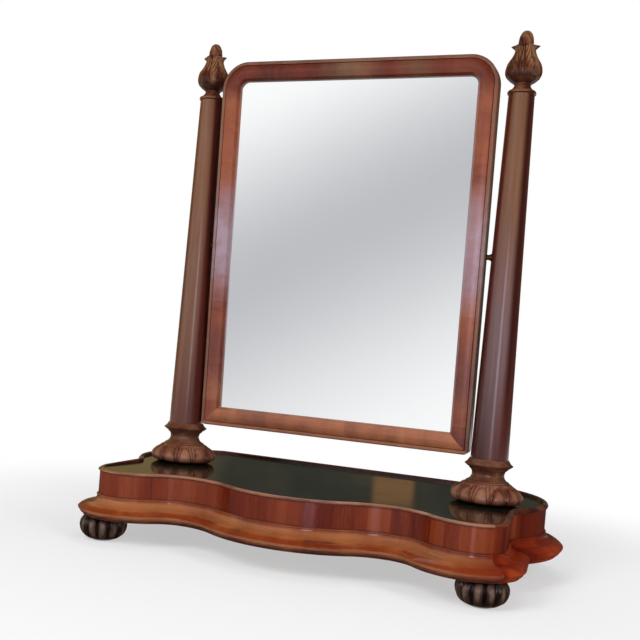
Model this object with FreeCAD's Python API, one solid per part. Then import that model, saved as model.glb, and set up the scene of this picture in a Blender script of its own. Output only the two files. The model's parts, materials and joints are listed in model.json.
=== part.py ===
"""Mahogany swing mirror on a serpentine platform base with carved columns.

Millimetres. +Z is up, the front faces -Y and +X is to the right seen from the
front. The origin is on the floor, under the middle of the base.
"""
import FreeCAD
import Part
import math
import os

V = FreeCAD.Vector
Z_AXIS = V(0, 0, 1)
X_AXIS = V(1, 0, 0)
Y_AXIS = V(0, 1, 0)

# Base plan, measured from the line through the two columns
COLUMN_SPACING = 546.0
FRONT_BOW = 224.0  # column line to the middle of the bowed front
BACK_REACH = 190.0  # column line to the flat back
BOW_PROJECTION = 56.0  # bow in front of the hollow beside it
LOBE_PROJECTION = 50.0  # front lobe in front of the hollow
LOBE_OUTSET = 11.0  # front lobe outside the column
LOBE_SPAN = 116.0  # hollow to front lobe, along X
BOW_RADIUS = 165.0
LOBE_RADIUS = 78.0
CORNER_RADIUS = 48.0
MITRE_ANGLE = -45.0  # where front and end pieces meet on the corner
END_OUTSET = 90.0  # rear lobe outside the column
END_RADIUS = 163.0
END_ANGLE = 62.0  # where the rear lobe meets the flat back
WAIST_TAPER = 4.0  # degrees, waist between the two lobes of an end
NOTCH_HOLLOW = 8.5  # radius of the notch at the plinth's nose

# Base levels and walls
FOOT_HEIGHT = 39.0
PLINTH_HEIGHT = 34.5
FRIEZE_HEIGHT = 37.5
RIM_HEIGHT = 4.5
RIM_WIDTH = 5.5  # frieze face in to the slab
RIM_OVERHANG = 3.0
NOSE_PROJECTION = 31.5
NOSE_DROP = 22.5  # plinth top down to the middle of the nose
NOSE_TUCK = 4.5  # lower fillet behind the nose
FILLET_HEIGHT = 2.5
FOOT_COVE = 4.5  # hollow below the lower fillet
PLINTH_COVE = 13.5
ASTRAGAL = 2.6  # small bead at the foot of the frieze
WALL = 14.0  # frieze
PLINTH_WALL = 40.0
SLAB_SINK = 1.0  # slab top below the rim top
SLAB_THICKNESS = 8.0
BED_THICKNESS = 10.0
BASE_BOARD_THICKNESS = 12.0
BOARD_PLAY = 0.2
BLOCK_SIZE = 22.0
COLUMN_BLOCK = 48.0

# Feet
FOOT_RADIUS = 38.5
FOOT_PAD_RADIUS = 17.0
FOOT_PAD_HEIGHT = 1.5
FOOT_LOBES = 12
FOOT_LOBE_DEPTH = 3.0
FOOT_SPIGOT_RADIUS = 9.0
FOOT_SPIGOT_LENGTH = 18.0
FRONT_FOOT_INSET = 10.5  # foot centre behind the frieze face
FRONT_FOOT_ANGLE = -50.0
REAR_FOOT_INSET = 16.0
REAR_FOOT_ANGLE = 38.0

# Columns
COLLAR_HEIGHT = 71.0
COLLAR_RADIUS = 56.0
COLLAR_FOOT_RADIUS = 34.0
COLLAR_FILLET_RADIUS = 34.5
COLLAR_FILLET_HEIGHT = 2.0
COLLAR_LEAVES = 12
COLLAR_LEAF_DEPTH = 2.4
COLLAR_CARVED_HEIGHT = 33.5
NECK_RADIUS = 25.8
RING_RADIUS = 38.2
RING_EDGE = 1.0  # blunt edge of the ring
RING_BEVEL = 8.5  # slope from the edge up to the shaft
RING_HOLLOW = 8.0  # hollow below the edge
RING_LEDGE = 1.0  # ring top beside the shaft
SHAFT_LENGTH = 586.0
SHAFT_BASE_RADIUS = 30.0
SHAFT_TOP_RADIUS = 20.4
CAP_RING_RADIUS = 22.5
CAP_RING_HEIGHT = 5.0
CAP_RING_LIP = 0.7
TENON_RADIUS = 12.0
TENON_PLAY = 0.1
TENON_FLOOR = 6.0  # wood left below the tenon in its block
COLUMN_SCREW_RADIUS = 3.0
COLUMN_SCREW_HEAD = 6.0
COLUMN_SCREW_GRIP = 22.0

# Finials
FINIAL_HEIGHT = 97.8
FINIAL_CAP_RADIUS = 21.8
FINIAL_CAP_HEIGHT = 9.0
FINIAL_NECK_RADIUS = 12.0
FINIAL_NECK_HEIGHT = 12.5  # shaft top to the foot of the bulb
FINIAL_BEAD = 0.9
FINIAL_BULB_RADIUS = 28.4
FINIAL_WAIST_RADIUS = 15.4
FINIAL_BUD_RADIUS = 11.5
FINIAL_BUD_HEIGHT = 32.3
FINIAL_LEAVES = 4
FINIAL_LOBES = 8
FINIAL_LOBE_DEPTH = 1.8
LEAF_TIP_REACH = 21.8
LEAF_TIP_LENGTH = 10.0
LEAF_TIP_WIDTH = 16.0
LEAF_TIP_ROOT = 5.0  # leaf tip let into the bulb
LEAF_TIP_THICKNESS = 2.6
FINIAL_SPIGOT_RADIUS = 6.0
FINIAL_SPIGOT_LENGTH = 20.0

# Mirror frame, measured from the swing axis
SWING_GAP = 8.3  # frame edge to column at the swing axis
FRAME_HEIGHT = 639.5
FRAME_CLEARANCE = 2.5  # frame above the column rings
FRAME_MEMBER = 32.9
FRAME_FRONT = 21.5  # front face in front of the swing axis
FRAME_THICKNESS = 27.5
FRAME_TOP_RADIUS = 47.0
FRAME_FOOT_RADIUS = 9.0
EDGE_STRIP = 6.0
EDGE_STEP = 2.5
EDGE_QUIRK = 1.6  # groove between strip and cushion
CUSHION_RISE = 2.0
SLIP_WIDTH = 4.0
SLIP_DEPTH = 8.0
GLASS_REBATE = 8.0
GLASS_SET = 12.0  # glass behind the frame front
GLASS_THICKNESS = 4.0
GLASS_PLAY = 0.3
BACKBOARD_LAP = 9.0  # backboard beyond the glass rebate
BACKBOARD_THICKNESS = 6.0
REST_TILT = 2.0  # top leaning to the front, as it stands
PACKING_LENGTH = 40.0
PACKING_WIDTH = 6.0
BACK_SCREW_RADIUS = 1.6
BACK_SCREW_HEAD = 3.4
BACK_SCREW_LENGTH = 14.0
BACK_SCREW_ROWS = 4
BACK_SCREW_COLUMNS = 3
SCREW_PLAY = 0.05

# Swing fittings
PIN_RADIUS = 3.0
PIN_PLAY = 0.04
PIN_LENGTH = 16.0
PLATE_WIDTH = 8.6
PLATE_LENGTH = 56.0
PLATE_THICKNESS = 3.0
BOSS_RADIUS = 4.2
BOSS_HEIGHT = 4.4
WASHER_RADIUS = 4.6
SOCKET_RADIUS = 4.6
SOCKET_LENGTH = 20.0
FLANGE_RADIUS = 6.0
FLANGE_THICKNESS = 3.0
FLANGE_PROUD = 1.4  # flange face beyond the column's side
PLATE_SCREW_SPREAD = 21.0
PLATE_SCREW_RADIUS = 1.8
PLATE_SCREW_HEAD = 3.2
PLATE_SCREW_LENGTH = 16.0

# Places that follow from the sizes above
COLUMN_X = COLUMN_SPACING / 2
COLUMN_Y = (FRONT_BOW + NOSE_PROJECTION - BACK_REACH - RIM_OVERHANG) / 2
HOLLOW_Y = FRONT_BOW - BOW_PROJECTION
LOBE_Y = HOLLOW_Y + LOBE_PROJECTION
LOBE_X = COLUMN_X + LOBE_OUTSET
HOLLOW_X = LOBE_X - LOBE_SPAN
END_X = COLUMN_X + END_OUTSET
PLINTH_TOP = FOOT_HEIGHT + PLINTH_HEIGHT
FRIEZE_TOP = PLINTH_TOP + FRIEZE_HEIGHT
RIM_TOP = FRIEZE_TOP + RIM_HEIGHT
SLAB_TOP = RIM_TOP - SLAB_SINK
SLAB_BOTTOM = SLAB_TOP - SLAB_THICKNESS
BED_BOTTOM = SLAB_BOTTOM - BED_THICKNESS
BASE_BOARD_TOP = FOOT_HEIGHT + BASE_BOARD_THICKNESS
COLLAR_TOP = SLAB_TOP + COLLAR_HEIGHT
SHAFT_TOP = COLLAR_TOP + SHAFT_LENGTH
SWING_Z = COLLAR_TOP + FRAME_CLEARANCE + FRAME_HEIGHT / 2
FINIAL_BUD_FOOT = FINIAL_HEIGHT - FINIAL_BUD_HEIGHT
FRAME_BACK = FRAME_THICKNESS - FRAME_FRONT
GLASS_FRONT = GLASS_SET - FRAME_FRONT
GLASS_BACK = GLASS_FRONT + GLASS_THICKNESS
BACKBOARD_FRONT = FRAME_BACK - BACKBOARD_THICKNESS


def shaft_radius(height):
    """Radius of the tapered shaft at a height above the floor."""
    share = (height - COLLAR_TOP) / (SHAFT_LENGTH - CAP_RING_HEIGHT)
    return SHAFT_BASE_RADIUS + share * (SHAFT_TOP_RADIUS - SHAFT_BASE_RADIUS)


COLUMN_SIDE = COLUMN_X - shaft_radius(SWING_Z)
FRAME_HALF = COLUMN_SIDE - SWING_GAP
FLANGE_FACE = COLUMN_SIDE - FLANGE_PROUD


# Helpers
def polar(centre, radius, angle):
    """Point of the plan at an angle in degrees round a centre."""
    turn = math.radians(angle)
    return (centre[0] + radius * math.cos(turn), centre[1] + radius * math.sin(turn))


def angle_to(origin, target):
    """Angle in degrees of the line between two plan points."""
    return math.degrees(math.atan2(target[1] - origin[1], target[0] - origin[0]))


def outline_face(steps, place):
    """Face of a closed outline: a step is a point, or an arc's middle and end."""
    edges = []
    start = steps[0]
    here = place(*start)
    for step in steps[1:] + [start]:
        is_arc = isinstance(step[0], tuple)
        end = place(*(step[1] if is_arc else step))
        if is_arc:
            edges.append(Part.Arc(here, place(*step[0]), end).toShape())
        else:
            edges.append(Part.makeLine(here, end))
        here = end
    return Part.Face(Part.Wire(edges))


def fuse(shapes):
    """One solid from overlapping or touching solids."""
    return shapes[0].multiFuse(shapes[1:]).removeSplitter().Solids[0]


def turned(steps):
    """Solid turned about Z from an outline of (radius, height) steps."""
    face = outline_face(steps, lambda radius, height: V(radius, 0, height))
    return face.revolve(V(0, 0, 0), Z_AXIS, 360).Solids[0]


def mirrored(shape):
    """The same shape on the other side of the middle."""
    return shape.mirror(V(0, 0, 0), X_AXIS)


def rod(radius, length, foot, direction):
    """Cylinder from a foot point along a direction."""
    return Part.makeCylinder(radius, length, foot, direction)


def screw(shank, head, length, tip_up):
    """Countersunk screw along Z with its head face at the origin."""
    steps = [(0, 0), (head, 0), (shank, head - shank), (shank, length), (0, length)]
    shape = turned(steps)
    if tip_up:
        return shape
    return shape.mirror(V(0, 0, 0), Z_AXIS)


def lobed_wire(radius, depth, count, height):
    """Ring of round lobes with a groove between neighbours, lying flat."""
    edges = []
    step = 2 * math.pi / count
    for index in range(count):
        turns = [(index + part) * step for part in (-0.5, 0, 0.5)]
        radii = [radius - depth, radius, radius - depth]
        points = [V(r * math.cos(t), r * math.sin(t), height) for r, t in zip(radii, turns)]
        edges.append(Part.Arc(*points).toShape())
    return Part.Wire(edges)


def lobed_body(levels, count):
    """Solid through lobed rings given as (radius, lobe depth, height)."""
    wires = [lobed_wire(radius, depth, count, height) for radius, depth, height in levels]
    return Part.makeLoft(wires, True, True).Solids[0]


# Plan of the base, as runs of arcs and lines going round it
class ArcRun:
    """A stretch of the plan along an arc, bulging out or hollowed in."""

    def __init__(self, centre, radius, start, end, outward=1):
        self.centre = centre
        self.radius = radius
        self.start = start
        self.end = end
        self.outward = outward

    def solid(self, section):
        """Section of (outset, height) steps swept along the run."""
        face = outline_face(section, lambda d, z: V(self.radius + self.outward * d, 0, z))
        shape = face.revolve(V(0, 0, 0), Z_AXIS, self.end - self.start)
        shape.rotate(V(0, 0, 0), Z_AXIS, self.start)
        shape.translate(V(self.centre[0], self.centre[1], 0))
        return shape.Solids[0]

    def edge(self, outset):
        """The plan line of the run at an outset from the frieze face."""
        radius = self.radius + self.outward * outset
        points = [polar(self.centre, radius, self.start + part * (self.end - self.start))
                  for part in (0, 0.5, 1)]
        return Part.Arc(*[V(x, y, 0) for x, y in points]).toShape()


class LineRun:
    """A straight stretch of the plan, with the outside on its right."""

    def __init__(self, start, end):
        self.start = V(start[0], start[1], 0)
        self.along = (V(end[0], end[1], 0) - self.start).normalize()
        self.length = (V(end[0], end[1], 0) - self.start).Length
        self.out = V(self.along.y, -self.along.x, 0)

    def solid(self, section):
        """Section of (outset, height) steps swept along the run."""
        face = outline_face(section, lambda d, z: self.start + self.out * d + Z_AXIS * z)
        return face.extrude(self.along * self.length).Solids[0]

    def edge(self, outset):
        """The plan line of the run at an outset from the frieze face."""
        start = self.start + self.out * outset
        return Part.makeLine(start, start + self.along * self.length)


def bow_radii():
    """Radii of the hollow on its bow side and on its lobe side."""
    bow_side = (HOLLOW_X ** 2 + BOW_PROJECTION ** 2) / (2 * BOW_PROJECTION) - BOW_RADIUS
    lobe_side = (LOBE_SPAN ** 2 + LOBE_PROJECTION ** 2) / (2 * LOBE_PROJECTION) - LOBE_RADIUS
    return bow_side, lobe_side


BOW_CENTRE = (0.0, BOW_RADIUS - FRONT_BOW)
CORNER_CENTRE = (LOBE_X, CORNER_RADIUS - LOBE_Y)
END_CENTRE = (END_X - END_RADIUS, BACK_REACH - END_RADIUS * math.sin(math.radians(END_ANGLE)))
NOTCH_RADIUS = NOSE_PROJECTION + NOTCH_HOLLOW
BACK_CORNER = polar(END_CENTRE, END_RADIUS, END_ANGLE)


def bow_run():
    """The bow in the middle of the front."""
    bow_side = bow_radii()[0]
    meet = angle_to(BOW_CENTRE, (HOLLOW_X, -HOLLOW_Y - bow_side))
    return ArcRun(BOW_CENTRE, BOW_RADIUS, -180 - meet, meet)


def front_runs():
    """Right half of the front: hollow, lobe and corner up to the mitre."""
    bow_side, lobe_side = bow_radii()
    bow_hollow = (HOLLOW_X, -HOLLOW_Y - bow_side)
    lobe_hollow = (HOLLOW_X, -HOLLOW_Y - lobe_side)
    lobe = (LOBE_X, LOBE_RADIUS - LOBE_Y)
    turn = angle_to(lobe_hollow, lobe)
    return [
        ArcRun(bow_hollow, bow_side, 90, angle_to(BOW_CENTRE, bow_hollow) + 180, -1),
        ArcRun(lobe_hollow, lobe_side, turn, 90, -1),
        ArcRun(lobe, LOBE_RADIUS, turn + 180, 270),
        ArcRun(CORNER_CENTRE, CORNER_RADIUS, -90, MITRE_ANGLE),
    ]


def notch_centre():
    """Centre of the notch, which touches the waist line and the rear lobe."""
    beside = polar(CORNER_CENTRE, CORNER_RADIUS + NOTCH_RADIUS, WAIST_TAPER)
    along = polar((0, 0), 1, WAIST_TAPER + 90)
    gap = (beside[0] - END_CENTRE[0], beside[1] - END_CENTRE[1])
    slide = -(gap[0] * along[0] + gap[1] * along[1])
    reach = (END_RADIUS + NOTCH_RADIUS) ** 2 - gap[0] ** 2 - gap[1] ** 2 + slide ** 2
    slide -= math.sqrt(reach)
    return (beside[0] + slide * along[0], beside[1] + slide * along[1])


def end_runs():
    """Right end: corner from the mitre, waist, notch and rear lobe."""
    notch = notch_centre()
    waist_start = polar(CORNER_CENTRE, CORNER_RADIUS, WAIST_TAPER)
    waist_end = polar(notch, NOTCH_RADIUS, WAIST_TAPER + 180)
    turn = angle_to(END_CENTRE, notch)
    return [
        ArcRun(CORNER_CENTRE, CORNER_RADIUS, MITRE_ANGLE, WAIST_TAPER),
        LineRun(waist_start, waist_end),
        ArcRun(notch, NOTCH_RADIUS, turn + 180, WAIST_TAPER + 180, -1),
        ArcRun(END_CENTRE, END_RADIUS, turn, END_ANGLE),
    ]


def swept_front(section):
    """A section swept along the whole front, mitre to mitre."""
    right = [run.solid(section) for run in front_runs()]
    return fuse([bow_run().solid(section)] + right + [mirrored(shape) for shape in right])


def swept_end(section):
    """A section swept along the right end, mitre to back corner."""
    return fuse([run.solid(section) for run in end_runs()])


def plan_face(outset):
    """The whole plan as a face, grown or shrunk from the frieze face."""
    right = [run.edge(0) for run in front_runs() + end_runs()]
    left = [mirrored(edge) for edge in right]
    back = Part.makeLine(V(*BACK_CORNER, 0), V(-BACK_CORNER[0], BACK_CORNER[1], 0))
    edges = Part.sortEdges([bow_run().edge(0), back] + right + left)[0]
    return Part.Face(Part.Wire(edges)).makeOffset2D(outset)


def plan_board(outset, bottom, thickness):
    """Flat board that follows the plan."""
    board = plan_face(outset).extrude(V(0, 0, thickness))
    board.translate(V(0, 0, bottom))
    return board.Solids[0]


def back_bar(section):
    """A section swept along the flat back, mitred to the ends."""
    bar = LineRun(BACK_CORNER, (-BACK_CORNER[0], BACK_CORNER[1])).solid(section)
    far = polar(END_CENTRE, 2 * END_RADIUS, END_ANGLE)
    corners = [END_CENTRE, far, (-far[0], far[1]), (-END_CENTRE[0], END_CENTRE[1])]
    wedge = Part.Face(Part.makePolygon([V(x, y, 0) for x, y in corners + corners[:1]]))
    return bar.common(wedge.extrude(V(0, 0, RIM_TOP))).Solids[0]


# Base pieces, placed from the column line
def box_section(inner, outer, bottom, top):
    """Plain rectangular section."""
    return [(inner, bottom), (outer, bottom), (outer, top), (inner, top)]


def plinth_section():
    """Bold plinth moulding: bead, cove, round nose, fillet and a foot cove."""
    nose_z = PLINTH_TOP - NOSE_DROP
    fillet = NOSE_PROJECTION - NOSE_TUCK
    fillet_z = FOOT_HEIGHT + FOOT_COVE
    bead_foot = (ASTRAGAL * 0.6, PLINTH_TOP - ASTRAGAL * 1.1)
    cove_bend = (ASTRAGAL * 0.6 + PLINTH_COVE * 0.22, PLINTH_TOP - PLINTH_COVE * 0.74)
    shoulder = (NOSE_PROJECTION * 0.78, PLINTH_TOP - NOSE_DROP * 0.75)
    under = (NOSE_PROJECTION - NOSE_TUCK * 0.25, fillet_z + FILLET_HEIGHT * 1.9)
    return [
        (-PLINTH_WALL, FOOT_HEIGHT),
        (fillet - FOOT_COVE, FOOT_HEIGHT),
        ((fillet - FOOT_COVE * 0.7, FOOT_HEIGHT + FOOT_COVE * 0.7), (fillet, fillet_z)),
        (fillet, fillet_z + FILLET_HEIGHT),
        (under, (NOSE_PROJECTION, nose_z)),
        (shoulder, (PLINTH_COVE, PLINTH_TOP - PLINTH_COVE)),
        (cove_bend, bead_foot),
        ((ASTRAGAL, PLINTH_TOP - ASTRAGAL * 0.6), (ASTRAGAL * 0.4, PLINTH_TOP)),
        (-PLINTH_WALL, PLINTH_TOP),
    ]


def rim_section():
    """Rounded bead that stands above the slab."""
    lip = SLAB_TOP + SLAB_SINK * 0.2
    shoulder = FRIEZE_TOP + RIM_HEIGHT * 0.5
    return [
        (-RIM_WIDTH, FRIEZE_TOP),
        (0, FRIEZE_TOP),
        ((RIM_OVERHANG * 0.8, FRIEZE_TOP + RIM_HEIGHT * 0.2), (RIM_OVERHANG, shoulder)),
        ((RIM_OVERHANG * 0.2, RIM_TOP - RIM_HEIGHT * 0.12), (-RIM_WIDTH * 0.35, RIM_TOP)),
        (-RIM_WIDTH, lip),
    ]


def frieze_section():
    """Frieze wall with a rebate that the slab lies in."""
    return [
        (-WALL, PLINTH_TOP),
        (0, PLINTH_TOP),
        (0, FRIEZE_TOP),
        (-RIM_WIDTH, FRIEZE_TOP),
        (-RIM_WIDTH, SLAB_BOTTOM),
        (-WALL, SLAB_BOTTOM),
    ]


def make_plinth():
    """Front and end mouldings, with sockets for the spigots of the feet."""
    section = plinth_section()
    behind = Part.makeBox(4 * END_X, END_X, 2 * RIM_TOP, V(-2 * END_X, BACK_REACH, 0))
    pieces = {"plinth_front": swept_front(section)}
    right = swept_end(section).cut(behind).Solids[0]
    pieces["plinth_end_right"] = right
    pieces["plinth_end_left"] = mirrored(right)
    for name, foot in foot_places().items():
        side = "left" if name.endswith("left") else "right"
        holders = ["plinth_front", "plinth_end_" + side]
        hole = rod(FOOT_SPIGOT_RADIUS + BOARD_PLAY, FOOT_SPIGOT_LENGTH + BOARD_PLAY,
                   V(foot[0], foot[1], FOOT_HEIGHT), Z_AXIS)
        for holder in holders:
            pieces[holder] = pieces[holder].cut(hole).Solids[0]
    return pieces


def make_frieze():
    """Veneered front and ends, with the plain back and the plinth rail below it."""
    section = frieze_section()
    right = swept_end(section)
    return {
        "frieze_front": swept_front(section),
        "frieze_end_right": right,
        "frieze_end_left": mirrored(right),
        "frieze_back": back_bar(section),
        "plinth_back_rail": back_bar(box_section(-PLINTH_WALL, 0, FOOT_HEIGHT, PLINTH_TOP)),
    }


def make_rim():
    """Bead round the slab."""
    section = rim_section()
    right = swept_end(section)
    return {
        "rim_front": swept_front(section),
        "rim_end_right": right,
        "rim_end_left": mirrored(right),
        "rim_back": back_bar(section),
    }


def column_bores(radius, bottom, top):
    """Two upright rods on the column axes, for bores."""
    return [rod(radius, top - bottom, V(side * COLUMN_X, 0, bottom), Z_AXIS) for side in (-1, 1)]


def make_boards():
    """Base board, bed board and the dark stone slab, bored for the columns."""
    tenon_bores = column_bores(TENON_RADIUS + TENON_PLAY, BASE_BOARD_TOP, SLAB_TOP)
    screw_bores = column_bores(COLUMN_SCREW_HEAD + SCREW_PLAY, FOOT_HEIGHT, BASE_BOARD_TOP)
    base_board = plan_board(-PLINTH_WALL - BOARD_PLAY, FOOT_HEIGHT, BASE_BOARD_THICKNESS)
    bed = plan_board(-WALL - BOARD_PLAY, BED_BOTTOM, BED_THICKNESS)
    slab = plan_board(-RIM_WIDTH - BOARD_PLAY, SLAB_BOTTOM, SLAB_THICKNESS)
    return {
        "base_board": base_board.cut(Part.makeCompound(screw_bores)).Solids[0],
        "bed_board": bed.cut(Part.makeCompound(tenon_bores)).Solids[0],
        "stone_slab": slab.cut(Part.makeCompound(tenon_bores)).Solids[0],
    }


def make_blocks():
    """Column blocks, and the glue blocks that carry the bed board."""
    half = COLUMN_BLOCK / 2
    tenon_end = BASE_BOARD_TOP + TENON_FLOOR
    inside = plan_board(-PLINTH_WALL - BOARD_PLAY, BASE_BOARD_TOP, BED_BOTTOM - BASE_BOARD_TOP)
    pieces = {}
    for side, name in ((-1, "left"), (1, "right")):
        block = Part.makeBox(COLUMN_BLOCK, COLUMN_BLOCK, BED_BOTTOM - BASE_BOARD_TOP,
                             V(side * COLUMN_X - half, -half, BASE_BOARD_TOP)).common(inside)
        axis = V(side * COLUMN_X, 0, BASE_BOARD_TOP)
        bore = rod(TENON_RADIUS + TENON_PLAY, BED_BOTTOM - tenon_end,
                   axis + V(0, 0, TENON_FLOOR), Z_AXIS)
        pilot = rod(COLUMN_SCREW_RADIUS + SCREW_PLAY, TENON_FLOOR, axis, Z_AXIS)
        pieces["column_block_" + name] = block.cut(bore).cut(pilot).Solids[0]
    height = BED_BOTTOM - PLINTH_TOP
    inner = BACK_REACH - WALL - BLOCK_SIZE
    hollow_front = -HOLLOW_Y + WALL + BOARD_PLAY
    places = [(side * HOLLOW_X, y) for side in (-1, 1) for y in (hollow_front, inner)]
    bow_inside = math.sqrt((BOW_RADIUS - WALL) ** 2 - (BLOCK_SIZE / 2) ** 2)
    places += [(0, inner), (0, BOW_CENTRE[1] - bow_inside + BOARD_PLAY)]
    blocks = [Part.makeBox(BLOCK_SIZE, BLOCK_SIZE, height, V(x - BLOCK_SIZE / 2, y, PLINTH_TOP))
              for x, y in places]
    pieces["glue_blocks"] = Part.makeCompound(blocks)
    return pieces


def make_column_screws():
    """Long screws that draw the column tenons down to the base board."""
    length = BASE_BOARD_THICKNESS + TENON_FLOOR + COLUMN_SCREW_GRIP
    head_height = BASE_BOARD_THICKNESS * 0.5
    screws = []
    for side in (-1, 1):
        head = rod(COLUMN_SCREW_HEAD, head_height, V(0, 0, head_height), Z_AXIS)
        shank = rod(COLUMN_SCREW_RADIUS, length - head_height, V(0, 0, head_height), Z_AXIS)
        shape = fuse([head, shank])
        shape.translate(V(side * COLUMN_X, 0, FOOT_HEIGHT))
        screws.append(shape)
    return {"column_screws": Part.makeCompound(screws)}


# Feet
def foot_places():
    """Plan places of the four feet."""
    front = polar(CORNER_CENTRE, CORNER_RADIUS - FRONT_FOOT_INSET, FRONT_FOOT_ANGLE)
    rear = polar(END_CENTRE, END_RADIUS - REAR_FOOT_INSET, REAR_FOOT_ANGLE)
    return {
        "foot_front_left": (-front[0], front[1]),
        "foot_front_right": front,
        "foot_rear_left": (-rear[0], rear[1]),
        "foot_rear_right": rear,
    }


def make_feet():
    """Gadrooned bun feet on flat pads, with spigots up into the plinth."""
    carved = FOOT_HEIGHT - FOOT_PAD_HEIGHT
    shares = [(0.0, 0.54), (0.06, 0.68), (0.18, 0.84), (0.34, 0.94), (0.5, 0.985), (0.62, 1.0),
              (0.78, 0.97), (0.9, 0.9), (1.0, 0.82)]
    levels = [(FOOT_RADIUS * width, FOOT_LOBE_DEPTH * width, FOOT_PAD_HEIGHT + carved * up)
              for up, width in shares]
    foot = fuse([
        lobed_body(levels, FOOT_LOBES),
        rod(FOOT_PAD_RADIUS, FOOT_PAD_HEIGHT * 2, V(0, 0, 0), Z_AXIS),
        rod(FOOT_SPIGOT_RADIUS, FOOT_SPIGOT_LENGTH * 2, V(0, 0, FOOT_HEIGHT - FOOT_SPIGOT_LENGTH), Z_AXIS),
    ])
    pieces = {}
    for name, (x, y) in foot_places().items():
        shape = foot.copy()
        shape.translate(V(x, y, 0))
        pieces[name] = shape
    return pieces


# Columns
def make_collar():
    """Carved collar: lapping leaves, fillet, hollow neck and a sharp ring."""
    carved = COLLAR_CARVED_HEIGHT
    shares = [(0.0, 0.6, 0.2), (0.05, 0.77, 0.4), (0.14, 0.9, 0.7), (0.28, 0.97, 1.0), (0.47, 1.0, 1.0),
              (0.66, 0.98, 1.0), (0.79, 0.9, 0.9), (0.9, 0.77, 0.6), (1.0, 0.64, 0.2)]
    levels = [(COLLAR_RADIUS * width, COLLAR_LEAF_DEPTH * deep, carved * up)
              for up, width, deep in shares]
    fillet_top = carved + COLLAR_FILLET_HEIGHT
    ring_z = COLLAR_HEIGHT - RING_BEVEL
    hollow_z = ring_z - RING_HOLLOW
    neck_z = (fillet_top + hollow_z) / 2
    flare = NECK_RADIUS + (RING_RADIUS - NECK_RADIUS) * 0.25
    core = turned([
        (TENON_RADIUS, 0),
        (COLLAR_FOOT_RADIUS * 0.9, 0),
        (COLLAR_FILLET_RADIUS, carved),
        (COLLAR_FILLET_RADIUS, fillet_top),
        ((NECK_RADIUS + COLLAR_FILLET_HEIGHT, (fillet_top * 2 + neck_z) / 3), (NECK_RADIUS, neck_z)),
        ((NECK_RADIUS + RING_EDGE, (neck_z + hollow_z) / 2), (flare, hollow_z)),
        (RING_RADIUS, ring_z - RING_EDGE),
        (RING_RADIUS, ring_z),
        (SHAFT_BASE_RADIUS + RING_LEDGE, COLLAR_HEIGHT),
        (TENON_RADIUS, COLLAR_HEIGHT),
    ])
    collar = fuse([lobed_body(levels, COLLAR_LEAVES), core])
    bore = rod(TENON_RADIUS + TENON_PLAY, COLLAR_HEIGHT, V(0, 0, 0), Z_AXIS)
    return collar.cut(bore).Solids[0]


def make_shaft(side):
    """Tapered shaft with a tenon below, a cap ring above and a socket bore."""
    ring_foot = SHAFT_TOP - CAP_RING_HEIGHT
    ring_edge = ring_foot + CAP_RING_HEIGHT * 0.35
    tenon_end = BASE_BOARD_TOP + TENON_FLOOR
    shaft = turned([
        (0, tenon_end),
        (TENON_RADIUS, tenon_end),
        (TENON_RADIUS, COLLAR_TOP),
        (SHAFT_BASE_RADIUS, COLLAR_TOP),
        (SHAFT_TOP_RADIUS, ring_foot),
        (CAP_RING_RADIUS, ring_edge),
        (CAP_RING_RADIUS, SHAFT_TOP - CAP_RING_LIP),
        (CAP_RING_RADIUS - CAP_RING_LIP, SHAFT_TOP),
        (0, SHAFT_TOP),
    ])
    spigot = rod(FINIAL_SPIGOT_RADIUS + TENON_PLAY, FINIAL_SPIGOT_LENGTH + TENON_PLAY,
                 V(0, 0, SHAFT_TOP), -Z_AXIS)
    pilot = rod(COLUMN_SCREW_RADIUS + SCREW_PLAY, COLUMN_SCREW_GRIP, V(0, 0, tenon_end), Z_AXIS)
    shaft = shaft.cut(spigot).cut(pilot)
    shaft.translate(V(side * COLUMN_X, 0, 0))
    into = V(side, 0, 0)
    face = V(side * FLANGE_FACE, 0, SWING_Z)
    seat = rod(FLANGE_RADIUS + TENON_PLAY, FLANGE_THICKNESS, face, into)
    bore = rod(SOCKET_RADIUS + TENON_PLAY, SOCKET_LENGTH, face, into)
    return shaft.cut(seat).cut(bore).Solids[0]


def leaf_tips():
    """Pointed tips of the acanthus leaves: a flared lip cut to leaf outlines."""
    root = FINIAL_BUD_FOOT - LEAF_TIP_ROOT
    top = FINIAL_BUD_FOOT + LEAF_TIP_LENGTH
    foot = FINIAL_BUD_RADIUS - LEAF_TIP_THICKNESS
    bend = (FINIAL_WAIST_RADIUS * 2 + LEAF_TIP_REACH) / 3
    lip = turned([
        (foot, root),
        (FINIAL_WAIST_RADIUS, root),
        ((bend, top - LEAF_TIP_LENGTH * 0.45), (LEAF_TIP_REACH, top)),
        (foot, top + LEAF_TIP_THICKNESS),
    ])
    half = LEAF_TIP_WIDTH / 2
    cheek = FINIAL_BUD_FOOT + LEAF_TIP_LENGTH * 0.5
    outline = outline_face([
        (0, top + LEAF_TIP_THICKNESS),
        (-half * 0.66, cheek),
        ((-half, FINIAL_BUD_FOOT), (-half, root)),
        (half, root),
        ((half, FINIAL_BUD_FOOT), (half * 0.66, cheek)),
    ], lambda y, z: V(0, y, z))
    leaf = lip.common(outline.extrude(X_AXIS * 2 * LEAF_TIP_REACH)).Solids[0]
    tips = []
    for index in range(FINIAL_LEAVES):
        tip = leaf.copy()
        tip.rotate(V(0, 0, 0), Z_AXIS, index * 360 / FINIAL_LEAVES)
        tips.append(tip)
    return tips


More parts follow.
